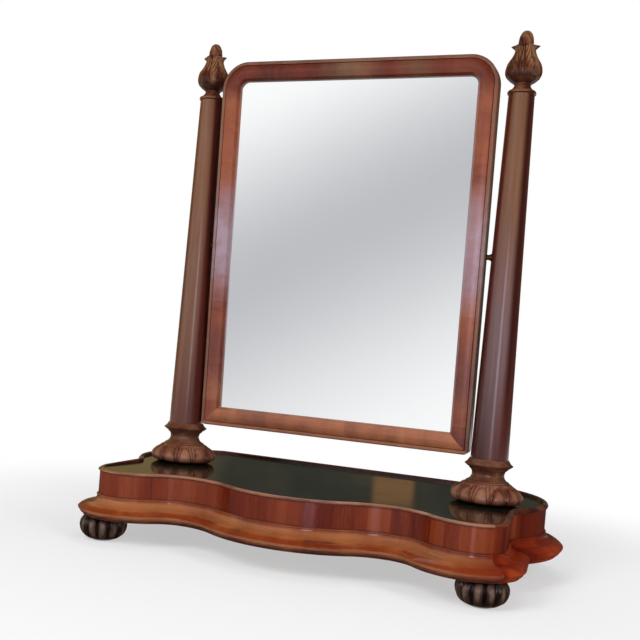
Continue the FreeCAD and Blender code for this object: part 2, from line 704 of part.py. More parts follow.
def make_finial():
    """Leaf-carved finial with a bud on top and a spigot below."""
    bulb = FINIAL_BUD_FOOT - FINIAL_NECK_HEIGHT
    shares = [(0.0, 0.44, 0.1), (0.075, 0.66, 0.4), (0.19, 0.89, 0.8), (0.34, 1.0, 1.0), (0.53, 0.955, 1.0),
              (0.68, 0.82, 0.9), (0.83, 0.66, 0.7), (1.0, 0.58, 0.5)]
    levels = [(FINIAL_BULB_RADIUS * width, FINIAL_LOBE_DEPTH * deep, FINIAL_NECK_HEIGHT + bulb * up)
              for up, width, deep in shares]
    neck_top = FINIAL_NECK_HEIGHT + FINIAL_BEAD
    bead = (FINIAL_CAP_HEIGHT + neck_top) / 2
    cap_bend = (FINIAL_CAP_RADIUS + FINIAL_NECK_RADIUS) / 2 - FINIAL_BEAD
    neck = turned([
        (0, -FINIAL_SPIGOT_LENGTH),
        (FINIAL_SPIGOT_RADIUS, -FINIAL_SPIGOT_LENGTH),
        (FINIAL_SPIGOT_RADIUS, 0),
        (FINIAL_CAP_RADIUS, 0),
        ((cap_bend, FINIAL_CAP_HEIGHT * 0.5), (FINIAL_NECK_RADIUS, FINIAL_CAP_HEIGHT)),
        ((FINIAL_NECK_RADIUS + FINIAL_BEAD, bead), (FINIAL_NECK_RADIUS, neck_top)),
        (0, neck_top),
    ])
    dome = (0, FINIAL_HEIGHT - FINIAL_BUD_RADIUS)
    bud = turned([
        (0, FINIAL_BUD_FOOT - LEAF_TIP_ROOT),
        (FINIAL_WAIST_RADIUS, FINIAL_BUD_FOOT - LEAF_TIP_ROOT),
        (FINIAL_BUD_RADIUS, dome[1]),
        (polar(dome, FINIAL_BUD_RADIUS, 45), (0, FINIAL_HEIGHT)),
    ])
    return fuse([lobed_body(levels, FINIAL_LOBES), neck, bud] + leaf_tips())


def make_columns():
    """Collars, shafts, finials and the brass sockets in the shafts."""
    pieces = {}
    collar = make_collar()
    finial = make_finial()
    for side, name in ((-1, "left"), (1, "right")):
        for title, shape, level in (("collar", collar, SLAB_TOP), ("finial", finial, SHAFT_TOP)):
            piece = shape.copy()
            piece.translate(V(side * COLUMN_X, 0, level))
            pieces[title + "_" + name] = piece
        pieces["column_shaft_" + name] = make_shaft(side)
        pieces["pivot_socket_" + name] = make_socket(side)
    return pieces


def make_socket(side):
    """Flanged brass bush in the side of a column."""
    into = V(side, 0, 0)
    face = V(side * FLANGE_FACE, 0, SWING_Z)
    bush = fuse([rod(FLANGE_RADIUS, FLANGE_THICKNESS, face, into),
                 rod(SOCKET_RADIUS, SOCKET_LENGTH, face, into)])
    return bush.cut(rod(PIN_RADIUS + PIN_PLAY, SOCKET_LENGTH, face, into)).Solids[0]


# Mirror pieces, placed from the swing axis
FRAME_TOP = FRAME_HEIGHT / 2
MEMBER_BACK = FRAME_MEMBER - GLASS_REBATE
BOARD_EDGE = MEMBER_BACK - BACKBOARD_LAP


def frame_section():
    """Frame section of (inset, depth) steps: strip, groove, cushion, slip, rebates."""
    front = -FRAME_FRONT
    slip = FRAME_MEMBER - SLIP_WIDTH
    cushion = EDGE_STRIP + EDGE_QUIRK
    middle = (cushion + slip) / 2
    return [
        (0, FRAME_BACK),
        (0, front + EDGE_STEP * 2),
        ((EDGE_STEP * 0.3, front + EDGE_STEP * 1.3), (EDGE_STEP, front + EDGE_STEP)),
        (EDGE_STRIP, front + EDGE_STEP),
        (EDGE_STRIP + EDGE_QUIRK / 2, front + EDGE_STEP + EDGE_QUIRK),
        (cushion, front + CUSHION_RISE),
        ((middle, front), (slip, front + CUSHION_RISE)),
        (FRAME_MEMBER, front + SLIP_DEPTH),
        (FRAME_MEMBER, GLASS_FRONT),
        (MEMBER_BACK, GLASS_FRONT),
        (MEMBER_BACK, BACKBOARD_FRONT),
        (BOARD_EDGE, BACKBOARD_FRONT),
        (BOARD_EDGE, FRAME_BACK),
    ]


def corner_arc(start, end):
    """Part of the rounded top right corner of the frame, angles from +X."""
    face = outline_face(frame_section(), lambda d, y: V(FRAME_TOP_RADIUS - d, y, 0))
    arc = face.revolve(V(0, 0, 0), -Y_AXIS, end - start)
    arc.rotate(V(0, 0, 0), -Y_AXIS, start)
    arc.translate(V(FRAME_HALF - FRAME_TOP_RADIUS, 0, FRAME_TOP - FRAME_TOP_RADIUS))
    return arc.Solids[0]


def frame_prism(inset, top_radius, foot_radius, front, back):
    """Prism of the frame's outline, drawn in by an inset."""
    half = FRAME_HALF - inset
    top = FRAME_TOP - inset
    corners = [(half, -top, foot_radius, -45), (half, top, top_radius, 45),
               (-half, top, top_radius, 135), (-half, -top, foot_radius, 225)]
    edges = []
    here = None
    first = None
    for x, z, radius, angle in corners:
        centre = (x - math.copysign(radius, x), z - math.copysign(radius, z))
        start, middle, end = [polar(centre, radius, angle + turn) for turn in (-45, 0, 45)]
        start, middle, end = [V(a, front, b) for a, b in (start, middle, end)]
        if here is not None:
            edges.append(Part.makeLine(here, start))
        first = first or start
        edges.append(Part.Arc(start, middle, end).toShape())
        here = end
    edges.append(Part.makeLine(here, first))
    return Part.Face(Part.Wire(edges)).extrude(V(0, back - front, 0)).Solids[0]


def foot_mitre(below):
    """Half space below or above the mitre of the bottom right corner."""
    reach = 4 * FRAME_HALF
    corner = V(FRAME_HALF, 0, -FRAME_TOP)
    slope = V(-reach, 0, reach)
    other = V(-reach, 0, -reach) if below else V(reach, 0, reach)
    points = [corner - slope, corner + slope, corner + slope + other, corner - slope + other]
    points = [point - Y_AXIS * reach for point in points]
    return Part.Face(Part.makePolygon(points + points[:1])).extrude(Y_AXIS * 2 * reach)


def make_frame(pilots):
    """Two stiles and two rails, mitred at the corners."""
    section = frame_section()
    arc_foot = FRAME_TOP - FRAME_TOP_RADIUS
    stile_face = outline_face(section, lambda d, y: V(FRAME_HALF - d, y, -FRAME_TOP))
    stile = stile_face.extrude(Z_AXIS * (FRAME_TOP + arc_foot)).cut(foot_mitre(True))
    stile = fuse([stile.Solids[0], corner_arc(0, 45)])
    run = FRAME_HALF - FRAME_TOP_RADIUS
    top_face = outline_face(section, lambda d, y: V(-run, y, FRAME_TOP - d))
    arc = corner_arc(45, 90)
    top_rail = fuse([top_face.extrude(X_AXIS * 2 * run).Solids[0], arc, mirrored(arc)])
    foot_face = outline_face(section, lambda d, y: V(-FRAME_HALF, y, d - FRAME_TOP))
    foot_rail = foot_face.extrude(X_AXIS * 2 * FRAME_HALF).cut(foot_mitre(False))
    foot_rail = foot_rail.cut(mirrored(foot_mitre(False)))
    rounded = frame_prism(0, FRAME_TOP_RADIUS, FRAME_FOOT_RADIUS, -FRAME_FRONT, FRAME_BACK)
    recess = plate_body(1, SCREW_PLAY)
    screw_holes = Part.makeCompound(plate_screws(1, SCREW_PLAY))
    stile = stile.common(rounded).cut(recess).cut(screw_holes)
    members = {
        "frame_stile_right": stile,
        "frame_stile_left": mirrored(stile),
        "frame_top_rail": top_rail,
        "frame_bottom_rail": foot_rail.common(rounded),
    }
    return {name: shape.cut(pilots).Solids[0] for name, shape in members.items()}


def board_screws(play):
    """Screws round the backboard, heads flush with its back."""
    edge = BOARD_EDGE + BACKBOARD_LAP / 2
    half = FRAME_HALF - edge
    top = FRAME_TOP - edge
    reach = half - FRAME_TOP_RADIUS
    rise = top - FRAME_TOP_RADIUS
    places = [(side * half, rise * (2 * row / (BACK_SCREW_ROWS - 1) - 1))
              for side in (-1, 1) for row in range(BACK_SCREW_ROWS)]
    places += [(reach * (2 * column / (BACK_SCREW_COLUMNS - 1) - 1), level * top)
               for level in (-1, 1) for column in range(BACK_SCREW_COLUMNS)]
    screws = []
    for x, z in places:
        shape = screw(BACK_SCREW_RADIUS + play, BACK_SCREW_HEAD + play, BACK_SCREW_LENGTH, True)
        shape.rotate(V(0, 0, 0), X_AXIS, 90)
        shape.translate(V(x, FRAME_BACK, z))
        screws.append(shape)
    return screws


def make_back(holes):
    """Glass, packing blocks behind it and the backboard with its screws."""
    glass_inset = MEMBER_BACK + GLASS_PLAY
    glass_radius = FRAME_TOP_RADIUS - glass_inset
    foot_radius = FRAME_FOOT_RADIUS * 0.25
    board_inset = BOARD_EDGE + GLASS_PLAY
    glass = frame_prism(glass_inset, glass_radius, foot_radius, GLASS_FRONT, GLASS_BACK)
    board = frame_prism(board_inset, FRAME_TOP_RADIUS - board_inset, foot_radius,
                        BACKBOARD_FRONT, FRAME_BACK)
    packing = []
    side = FRAME_HALF - MEMBER_BACK - GLASS_PLAY
    depth = BACKBOARD_FRONT - GLASS_BACK
    for level in (-0.5, 0.5):
        for sign in (-1, 1):
            x = sign * (side - PACKING_WIDTH / 2) - PACKING_WIDTH / 2
            foot = V(x, GLASS_BACK, level * FRAME_TOP - PACKING_LENGTH / 2)
            packing.append(Part.makeBox(PACKING_WIDTH, depth, PACKING_LENGTH, foot))
    return {
        "mirror_glass": glass,
        "backboard": board.cut(holes).Solids[0],
        "packing_blocks": Part.makeCompound(packing),
        "backboard_screws": Part.makeCompound(board_screws(0)),
    }


def plate_body(side, play):
    """Plate let into the edge of a stile, as a box."""
    inner = FRAME_HALF - PLATE_THICKNESS - play
    width = PLATE_WIDTH + 2 * play
    length = PLATE_LENGTH + 2 * play
    box = Part.makeBox(FRAME_HALF - inner, width, length, V(inner, -width / 2, -length / 2))
    return box if side > 0 else mirrored(box)


def plate_screws(side, play):
    """Two screws through a pivot plate into its stile."""
    screws = []
    for level in (-1, 1):
        shape = screw(PLATE_SCREW_RADIUS + play, PLATE_SCREW_HEAD + play, PLATE_SCREW_LENGTH, False)
        shape.rotate(V(0, 0, 0), Y_AXIS, 90)
        shape.translate(V(FRAME_HALF, 0, level * PLATE_SCREW_SPREAD))
        screws.append(shape if side > 0 else mirrored(shape))
    return screws


def make_plate(side):
    """Brass pivot plate with its boss and pin."""
    out = V(side, 0, 0)
    edge = V(side * FRAME_HALF, 0, 0)
    boss = rod(BOSS_RADIUS, BOSS_HEIGHT, edge, out)
    pin = rod(PIN_RADIUS, FLANGE_FACE - FRAME_HALF + PIN_LENGTH, edge, out)
    plate = fuse([plate_body(side, 0), boss, pin])
    return plate.cut(Part.makeCompound(plate_screws(side, SCREW_PLAY))).Solids[0]


def make_washer(side):
    """Leather washer that grips between the boss and the socket flange."""
    out = V(side, 0, 0)
    start = V(side * (FRAME_HALF + BOSS_HEIGHT), 0, SWING_Z)
    length = FLANGE_FACE - FRAME_HALF - BOSS_HEIGHT
    ring = rod(WASHER_RADIUS, length, start, out)
    return ring.cut(rod(PIN_RADIUS + PIN_PLAY, length, start, out)).Solids[0]


def make_mirror():
    """Frame, glass, back and pivot plates, standing upright on the swing axis."""
    holes = Part.makeCompound(board_screws(SCREW_PLAY))
    pieces = make_frame(holes)
    pieces.update(make_back(holes))
    for side, name in ((-1, "left"), (1, "right")):
        pieces["pivot_plate_" + name] = make_plate(side)
    screws = plate_screws(-1, 0) + plate_screws(1, 0)
    pieces["pivot_plate_screws"] = Part.makeCompound(screws)
    return pieces


def make_base():
    """Everything that stands still, placed from the column line."""
    pieces = {}
    for make in (make_plinth, make_frieze, make_rim, make_boards, make_blocks,
                 make_column_screws, make_feet, make_columns):
        pieces.update(make())
    for side, name in ((-1, "left"), (1, "right")):
        pieces["friction_washer_" + name] = make_washer(side)
    return pieces


def main():
    """Build every piece, set it in the shared frame and write it."""
    os.makedirs("parts", exist_ok=True)
    for name, shape in make_base().items():
        shape.translate(V(0, COLUMN_Y, 0))
        shape.exportStep("parts/" + name + ".step")
    for name, shape in make_mirror().items():
        shape.rotate(V(0, 0, 0), X_AXIS, REST_TILT)
        shape.translate(V(0, COLUMN_Y, SWING_Z))
        shape.exportStep("parts/" + name + ".step")


main()
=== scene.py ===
"""Looks of a mahogany swing mirror on a serpentine platform with carved columns."""

import json
import logging
import math
from collections.abc import Callable, Sequence
from dataclasses import dataclass, field
from enum import Enum

import bmesh
import bpy
import numpy as np
from mathutils import Matrix, Vector

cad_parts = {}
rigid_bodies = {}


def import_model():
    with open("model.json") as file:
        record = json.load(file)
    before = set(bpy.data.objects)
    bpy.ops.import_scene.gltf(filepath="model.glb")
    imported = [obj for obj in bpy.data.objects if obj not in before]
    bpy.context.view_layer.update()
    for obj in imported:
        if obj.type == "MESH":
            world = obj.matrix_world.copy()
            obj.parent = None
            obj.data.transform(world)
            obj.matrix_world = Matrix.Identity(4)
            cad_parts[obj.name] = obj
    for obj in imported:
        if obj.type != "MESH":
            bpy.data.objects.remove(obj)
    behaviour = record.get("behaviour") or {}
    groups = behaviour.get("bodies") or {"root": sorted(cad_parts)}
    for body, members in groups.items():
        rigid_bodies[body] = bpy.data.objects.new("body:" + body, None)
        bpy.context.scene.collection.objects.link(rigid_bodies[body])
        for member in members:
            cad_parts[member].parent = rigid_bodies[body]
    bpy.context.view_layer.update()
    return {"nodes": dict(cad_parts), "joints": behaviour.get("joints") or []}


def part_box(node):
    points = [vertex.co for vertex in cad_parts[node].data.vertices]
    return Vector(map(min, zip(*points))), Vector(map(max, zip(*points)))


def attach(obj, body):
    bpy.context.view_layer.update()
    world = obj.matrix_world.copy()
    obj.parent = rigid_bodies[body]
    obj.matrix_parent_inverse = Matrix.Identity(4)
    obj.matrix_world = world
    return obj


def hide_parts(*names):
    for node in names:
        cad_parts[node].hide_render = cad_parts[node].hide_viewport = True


LOG = logging.getLogger("swing_mirror")
MM = 0.001
IMAGE_SIDE = 640
# Point attribute of carved pieces: painted shade above 0, painted highlight below 0.
HOLLOW = "hollow"
WHITE = (1.0, 1.0, 1.0, 1.0)
SHARP_EDGE = math.radians(42)
FRAME_MIDDLE = (0.0, 0.03125, 0.50775)
FRAME_EDGE = {"Half": 0.240, "Top": 0.319, "Corner": 0.047, "Width": 0.0064}
LAMP_AIM = Vector((0.0, 0.0, 0.4))

Colour = tuple[float, float, float, float]
Profile = tuple[tuple[float, float], ...]
Carving = tuple[np.ndarray, np.ndarray]
Material = bpy.types.Material
Mesh = bpy.types.Mesh
Node = bpy.types.Node
Socket = bpy.types.NodeSocket
Sockets = bpy.types.bpy_prop_collection
Thing = bpy.types.Object
Tree = bpy.types.NodeTree


class Grain(Enum):
    """Direction in which the fibres of a piece run."""

    ACROSS = 0
    UPRIGHT = 2


class Side(Enum):
    """The two columns."""

    LEFT = "left"
    RIGHT = "right"


def pair(name: str) -> tuple[str, ...]:
    """Names of the left and the right node of a kind."""
    return tuple(f"{name}_{side.value}" for side in Side)


def shade(red: int, green: int, blue: int) -> Colour:
    """Linear colour of an ordinary screen colour.

    Args:
        red: Red from 0 to 255.
        green: Green from 0 to 255.
        blue: Blue from 0 to 255.

    Returns:
        The colour as Blender's sockets take it.
    """
    parts = [value / 255 for value in (red, green, blue)]
    linear = [p / 12.92 if p <= 0.04045 else ((p + 0.055) / 1.055) ** 2.4 for p in parts]
    return (linear[0], linear[1], linear[2], 1.0)


def ease(low: float, high: float, value: np.ndarray) -> np.ndarray:
    """Smooth step from 0 to 1 of a value between two limits."""
    share = np.clip((value - low) / (high - low), 0, 1)
    return share * share * (3 - 2 * share)


def notch(distance: np.ndarray, width: float) -> np.ndarray:
    """A soft cut of the chisel with a half width, 1 at its middle."""
    return np.exp(-((distance / width) ** 2))


def off_whole(value: np.ndarray) -> np.ndarray:
    """Distance of a value from the nearest whole number."""
    return np.abs((value + 0.5) % 1 - 0.5)


class Graph:
    """Adds and joins the nodes of one node tree."""

    def __init__(self, tree: Tree) -> None:
        """Keep the tree that the nodes go into."""
        self.tree = tree

    def add(self, kind: str, sockets: dict | None = None, **settings: object) -> Node:
        """Add a node, with its settings and what its sockets hold.

        Args:
            kind: Blender's name of the node.
            sockets: Socket names or numbers with a value, or a socket to join.
            settings: Attributes of the node.

        Returns:
            The new node.
        """
        node = self.tree.nodes.new(kind)
        for name, value in settings.items():
            setattr(node, name, value)
        for key, value in (sockets or {}).items():
            self.put(node.inputs[key], value)
        return node

    def put(self, socket: Socket, value: object) -> None:
        """Join an input to an output, or give it a value.

        Args:
            socket: The input.
            value: An output or a plain value.
        """
        if isinstance(value, Socket):
            self.tree.links.new(value, socket)
        else:
            socket.default_value = value

    def group(self, tree: Tree, sockets: dict) -> Sockets:
        """Set in a shared group with its own values, and give its outputs."""
        return self.add("ShaderNodeGroup", sockets, node_tree=tree).outputs

    def place(self) -> Socket:
        """Place on the piece, in metres."""
        return self.add("ShaderNodeTexCoord").outputs["Object"]

    def axes(self, place: Socket) -> Sockets:
        """Across, depth and height of a place."""
        return self.add("ShaderNodeSeparateXYZ", {0: place}).outputs

    def stretch(self, place: Socket, scale: Sequence[float]) -> Socket:
        """A place scaled along each axis."""
        return self.add("ShaderNodeMapping", {"Vector": place, "Scale": scale}).outputs[0]

    def vector(self, operation: str, first: object, second: object) -> Sockets:
        """One step of arithmetic with vectors."""
        return self.add("ShaderNodeVectorMath", {0: first, 1: second}, operation=operation).outputs

    def mix(self, factor: object, low: object, high: object) -> Socket:
        """Mix two colours by the share of the second one."""
        return self.add("ShaderNodeMix", {0: factor, 6: low, 7: high}, data_type="RGBA").outputs[2]

    def blend(self, factor: object, low: object, high: object) -> Socket:
        """Mix two values by the share of the second one."""
        return self.add("ShaderNodeMix", {0: factor, 2: low, 3: high}).outputs[0]

    def math(self, operation: str, first: object, second: object = 0.0, clamp: bool = False) -> Socket:
        """One step of arithmetic, kept from 0 to 1 if wanted."""
        sockets = {0: first, 1: second}
        return self.add("ShaderNodeMath", sockets, operation=operation, use_clamp=clamp).outputs[0]

    def times(self, first: object, second: object, clamp: bool = False) -> Socket:
        """Product of two values, kept from 0 to 1 if wanted."""
        return self.math("MULTIPLY", first, second, clamp)

    def span(self, value: object, low: float, high: float, start: float = 0.0, end: float = 1.0) -> Socket:
        """Carry a value from one range to another, kept inside it.

        Args:
            value: Socket to carry over.
            low: Lower end of the first range.
            high: Upper end of the first range.
            start: Result at the lower end.
            end: Result at the upper end.

        Returns:
            The result.
        """
        sockets = {"Value": value, "From Min": low, "From Max": high, "To Min": start, "To Max": end}
        return self.add("ShaderNodeMapRange", sockets, interpolation_type="SMOOTHSTEP").outputs[0]

    def band(self, value: object, low: float, high: float, soft: float) -> Socket:
        """Share that is 1 between two limits and fades out beyond them.

        Args:
            value: Socket to look at.
            low: Lower limit.
            high: Upper limit.
            soft: Half width of the fade at either limit.

        Returns:
            The share.
        """
        rise = self.span(value, low - soft, low + soft)
        fall = self.span(value, high - soft, high + soft, 1.0, 0.0)
        return self.times(rise, fall)

    def noise(self, place: object, scale: object, detail: float, rough: float = 0.55,
              warp: float = 0.0) -> Socket:
        """Cloudy noise.

        Args:
            place: Socket with the place.
            scale: Clouds per metre.
            detail: Octaves of finer clouds.
            rough: Strength of the finer clouds.
            warp: How far the clouds are pulled about.

        Returns:
            The noise's value.
        """
        sockets = {"Vector": place, "Scale": scale, "Detail": detail, "Roughness": rough, "Distortion": warp}
        return self.add("ShaderNodeTexNoise", sockets).outputs[0]

    def in_glass(self) -> Socket:
        """Whether a point is seen in the clear glass."""
        return self.add("ShaderNodeLightPath").outputs["Is Singular Ray"]

    def seen(self) -> Socket:
        """Whether the camera sees a point, straight or in a reflection or through glass.

        Returns:
            1 where it is seen, else 0.
        """
        path = self.add("ShaderNodeLightPath").outputs
        bounced = self.math("MAXIMUM", path["Is Glossy Ray"], path["Is Transmission Ray"])
        return self.math("MAXIMUM", path["Is Camera Ray"], bounced)


def new_material(name: str) -> tuple[Material, Graph]:
    """Make an empty material.

    Args:
        name: Name of the material.

    Returns:
        The material and its graph.
    """
    material = bpy.data.materials.new(name)
    material.use_nodes = True
    material.node_tree.nodes.clear()
    return material, Graph(material.node_tree)


class Effects:
    """Shader groups that several finishes share, each built once."""

    def __init__(self) -> None:
        """Build every group."""
        self.figure = self._figure()
        self.polish = self._polish()
        self.wear = self._wear()
        self.carving_shade_and_highlight = self._carving_shade_and_highlight()
        self.crevice = self._crevice()
        self.margin = self._margin()

    @staticmethod
    def _group(name: str, takes: dict[str, object], *gives: str) -> tuple[Graph, Sockets, Sockets]:
        """Start a group with named sockets.

        Args:
            name: Name of the group.
            takes: Inputs with their first values, None for a place.
            gives: Outputs, of which the one named Colour is a colour.

        Returns:
            The graph, what the group takes and what it gives.
        """
        tree = bpy.data.node_groups.new(name, "ShaderNodeTree")
        for title, value in takes.items():
            kind = "NodeSocketVector" if value is None else "NodeSocketFloat"
            kind = "NodeSocketColor" if isinstance(value, tuple) else kind
            socket = tree.interface.new_socket(title, in_out="INPUT", socket_type=kind)
            if value is not None:
                socket.default_value = value
        for title in gives:
            kind = "NodeSocketColor" if title == "Colour" else "NodeSocketFloat"
            tree.interface.new_socket(title, in_out="OUTPUT", socket_type=kind)
        graph = Graph(tree)
        return graph, graph.add("NodeGroupInput").outputs, graph.add("NodeGroupOutput").inputs

    def _figure(self) -> Tree:
        """Timber: slow changes of tone, flame patches, veneer leaves, fine grain and pores.

        Returns:
            The group.
        """
        grey = (0.2, 0.2, 0.2, 1.0)
        takes = {"Place": None, "Deep": grey, "Middle": grey, "Bright": grey, "Tone Scale": 8.0,
                 "Grain Scale": 200.0, "Flame": 0.0, "Flame Scale": 10.0, "Grain Strength": 0.5,
                 "Run": 0.0, "Leaf Length": 0.1, "Leaf Strength": 0.0}
        graph, given, out = self._group("timber_figure", takes, "Colour", "Grain")
        place = given["Place"]
        tone = graph.noise(place, given["Tone Scale"], 3.0, 0.5, 0.6)
        flame = graph.noise(place, given["Flame Scale"], 4.0, 0.6, 2.2)
        fine = graph.noise(place, given["Grain Scale"], 5.0, 0.65, 0.4)
        pores = graph.noise(place, graph.times(given["Grain Scale"], 2.6), 2.0, 0.5)
        spread = graph.span(graph.blend(given["Flame"], tone, flame), 0.32, 0.68)
        leaves = graph.math("DIVIDE", given["Run"], given["Leaf Length"])
        uneven = graph.math("ADD", leaves, graph.math("SINE", graph.times(leaves, 2.2)))
        each = graph.add("ShaderNodeTexWhiteNoise", {"W": graph.math("FLOOR", uneven)}, noise_dimensions="1D")
        spread = graph.blend(given["Leaf Strength"], spread, each.outputs["Value"])
        lined = graph.times(graph.math("SUBTRACT", fine, 0.5), given["Grain Strength"])
        level = graph.math("ADD", spread, lined, True)
        low = graph.mix(graph.span(level, 0.0, 0.5), given["Deep"], given["Middle"])
        both = graph.mix(graph.span(level, 0.45, 1.0), low, given["Bright"])
        dots = graph.span(pores, 0.6, 0.75, 0.0, 0.55)
        graph.put(out["Colour"], graph.mix(dots, both, given["Deep"]))
        graph.put(out["Grain"], graph.math("ADD", fine, graph.times(dots, -0.6)))
        return graph.tree

    def _polish(self) -> Tree:
        """Old polish: patches of duller shine and a faint ripple.

        Returns:
            The group.
        """
        takes = {"Place": None, "Smooth": 0.25, "Dull": 0.42, "Patch Scale": 14.0, "Grain": 0.5,
                 "Open Grain": 0.2}
        graph, given, out = self._group("old_polish", takes, "Roughness", "Height")
        patch = graph.noise(given["Place"], given["Patch Scale"], 5.0, 0.62, 0.3)
        graph.put(out["Roughness"], graph.blend(graph.span(patch, 0.38, 0.7), given["Smooth"], given["Dull"]))
        ripple = graph.noise(given["Place"], 55.0, 2.0, 0.4)
        open_grain = graph.times(given["Grain"], given["Open Grain"])
        graph.put(out["Height"], graph.math("ADD", ripple, open_grain))
        return graph.tree

    def _wear(self) -> Tree:
        """Wear along edges, broken up so that it looks rubbed by hands.

        Returns:
            The group.
        """
        takes = {"Place": None, "Width": 0.0012, "Amount": 0.6}
        graph, given, out = self._group("edge_wear", takes, "Mask")
        round_edge = graph.add("ShaderNodeBevel", {"Radius": given["Width"]}, samples=4).outputs[0]
        true = graph.add("ShaderNodeNewGeometry").outputs["Normal"]
        turn = graph.vector("DOT_PRODUCT", round_edge, true)["Value"]
        patch = graph.span(graph.noise(given["Place"], 45.0, 4.0, 0.6), 0.35, 0.65, 0.15, 1.0)
        worn = graph.times(graph.span(turn, 0.99, 0.86), patch)
        graph.put(out["Mask"], graph.times(worn, given["Amount"], True))
        return graph.tree

    def _carving_shade_and_highlight(self) -> Tree:
        """Painted shade in the hollows of the carving, and painted highlights on its raised parts.

        Returns:
            The group.
        """
        takes = {"Place": None, "Hollow": 0.0, "Amount": 0.8}
        graph, given, out = self._group("painted_carving_shade", takes, "Mask", "Highlight")
        broken = graph.span(graph.noise(given["Place"], 120.0, 3.0, 0.6), 0.25, 0.7, 0.65, 1.1)
        shaded = graph.times(graph.span(given["Hollow"], 0.05, 0.8), broken)
        graph.put(out["Mask"], graph.times(shaded, given["Amount"], True))
        graph.put(out["Highlight"], graph.times(graph.span(given["Hollow"], -0.1, -1.0, 0.0, 0.8), broken))
        return graph.tree

    def _crevice(self) -> Tree:
        """Painted shade in quirks and under mouldings, where ambient occlusion finds them closed in.

        Returns:
            The group.
        """
        takes = {"Place": None, "Reach": 0.006, "Amount": 0.7}
        graph, given, out = self._group("painted_crevice_shade", takes, "Mask")
        shut = graph.add("ShaderNodeAmbientOcclusion", {"Distance": given["Reach"]}, samples=6)
        broken = graph.span(graph.noise(given["Place"], 70.0, 3.0, 0.6), 0.3, 0.7, 0.75, 1.1)
        shaded = graph.times(graph.span(shut.outputs["AO"], 0.78, 0.3), broken)
        graph.put(out["Mask"], graph.times(shaded, given["Amount"], True))
        return graph.tree

    def _margin(self) -> Tree:
        """Outer margin of a round-cornered frame that stands upright.

        Returns:
            The group.
        """
        takes = {"Place": None, "Half": 0.2, "Top": 0.3, "Corner": 0.05, "Width": 0.005}
        graph, given, out = self._group("frame_margin", takes, "Mask")
        across, _, up = graph.axes(given["Place"])
        beyond = []
        for reach, limit in ((graph.math("ABSOLUTE", across), "Half"), (up, "Top")):
            start = graph.math("SUBTRACT", given[limit], given["Corner"])
            over = graph.math("MAXIMUM", graph.math("SUBTRACT", reach, start), 0.0)
            beyond.append(graph.math("POWER", over, 2.0))
        far = graph.math("SQRT", graph.math("ADD", *beyond))
        inside = graph.math("SUBTRACT", given["Corner"], far)
        above = graph.math("ADD", up, given["Top"])
        nearest = graph.math("DIVIDE", graph.math("MINIMUM", inside, above), given["Width"])
        graph.put(out["Mask"], graph.span(nearest, 0.92, 1.0, 1.0, 0.0))
        return graph.tree


@dataclass(frozen=True)
class Brush:
    """A material in the making."""

    graph: Graph
    shader: Node
    place: Socket
    effects: Effects

    def give(self, sockets: dict[str, object]) -> None:
        """Give the shader values and sockets by name."""
        for name, value in sockets.items():
            self.graph.put(self.shader.inputs[name], value)

    def bump(self, height: Socket, strength: float, depth: float) -> None:
        """Lead a height, with a strength and a depth in metres, into the shader's normal."""
        sockets = {"Strength": strength, "Distance": depth, "Height": height}
        self.give({"Normal": self.graph.add("ShaderNodeBump", sockets).outputs[0]})

    def polish(self, smooth: float, dull: float, patch: float) -> Sockets:
        """Rub the piece to a polish.

        Args:
            smooth: Roughness of the shiny parts.
            dull: Roughness of the dull patches.
            patch: Patches per metre.

        Returns:
            What the polish gives.
        """
        sockets = {"Place": self.place, "Smooth": smooth, "Dull": dull, "Patch Scale": patch}
        return self.graph.group(self.effects.polish, sockets)


class Finish:
    """Start of every finish: a material with its shader and place."""

    name: str

    def build(self, effects: Effects) -> Material:
        """Make the material.

        Args:
            effects: The shared groups.

        Returns:
            The finished material.
        """
        material, graph = new_material(self.name)
        shader = graph.add("ShaderNodeBsdfPrincipled")
        graph.add("ShaderNodeOutputMaterial", {"Surface": shader.outputs[0]})
        self.paint(Brush(graph, shader, graph.place(), effects))
        return material

    def paint(self, brush: Brush) -> None:
        """Lay on the finish, which each kind does in its own way."""
        raise NotImplementedError


@dataclass(frozen=True)
class Band:
    """A tone laid between two limits, in height if not said otherwise; some bands are painted light and shade,
    some plain tone.
    """

    low: float
    high: float
    soft: float
    tone: Colour
    share: float
    along: Grain = Grain.UPRIGHT


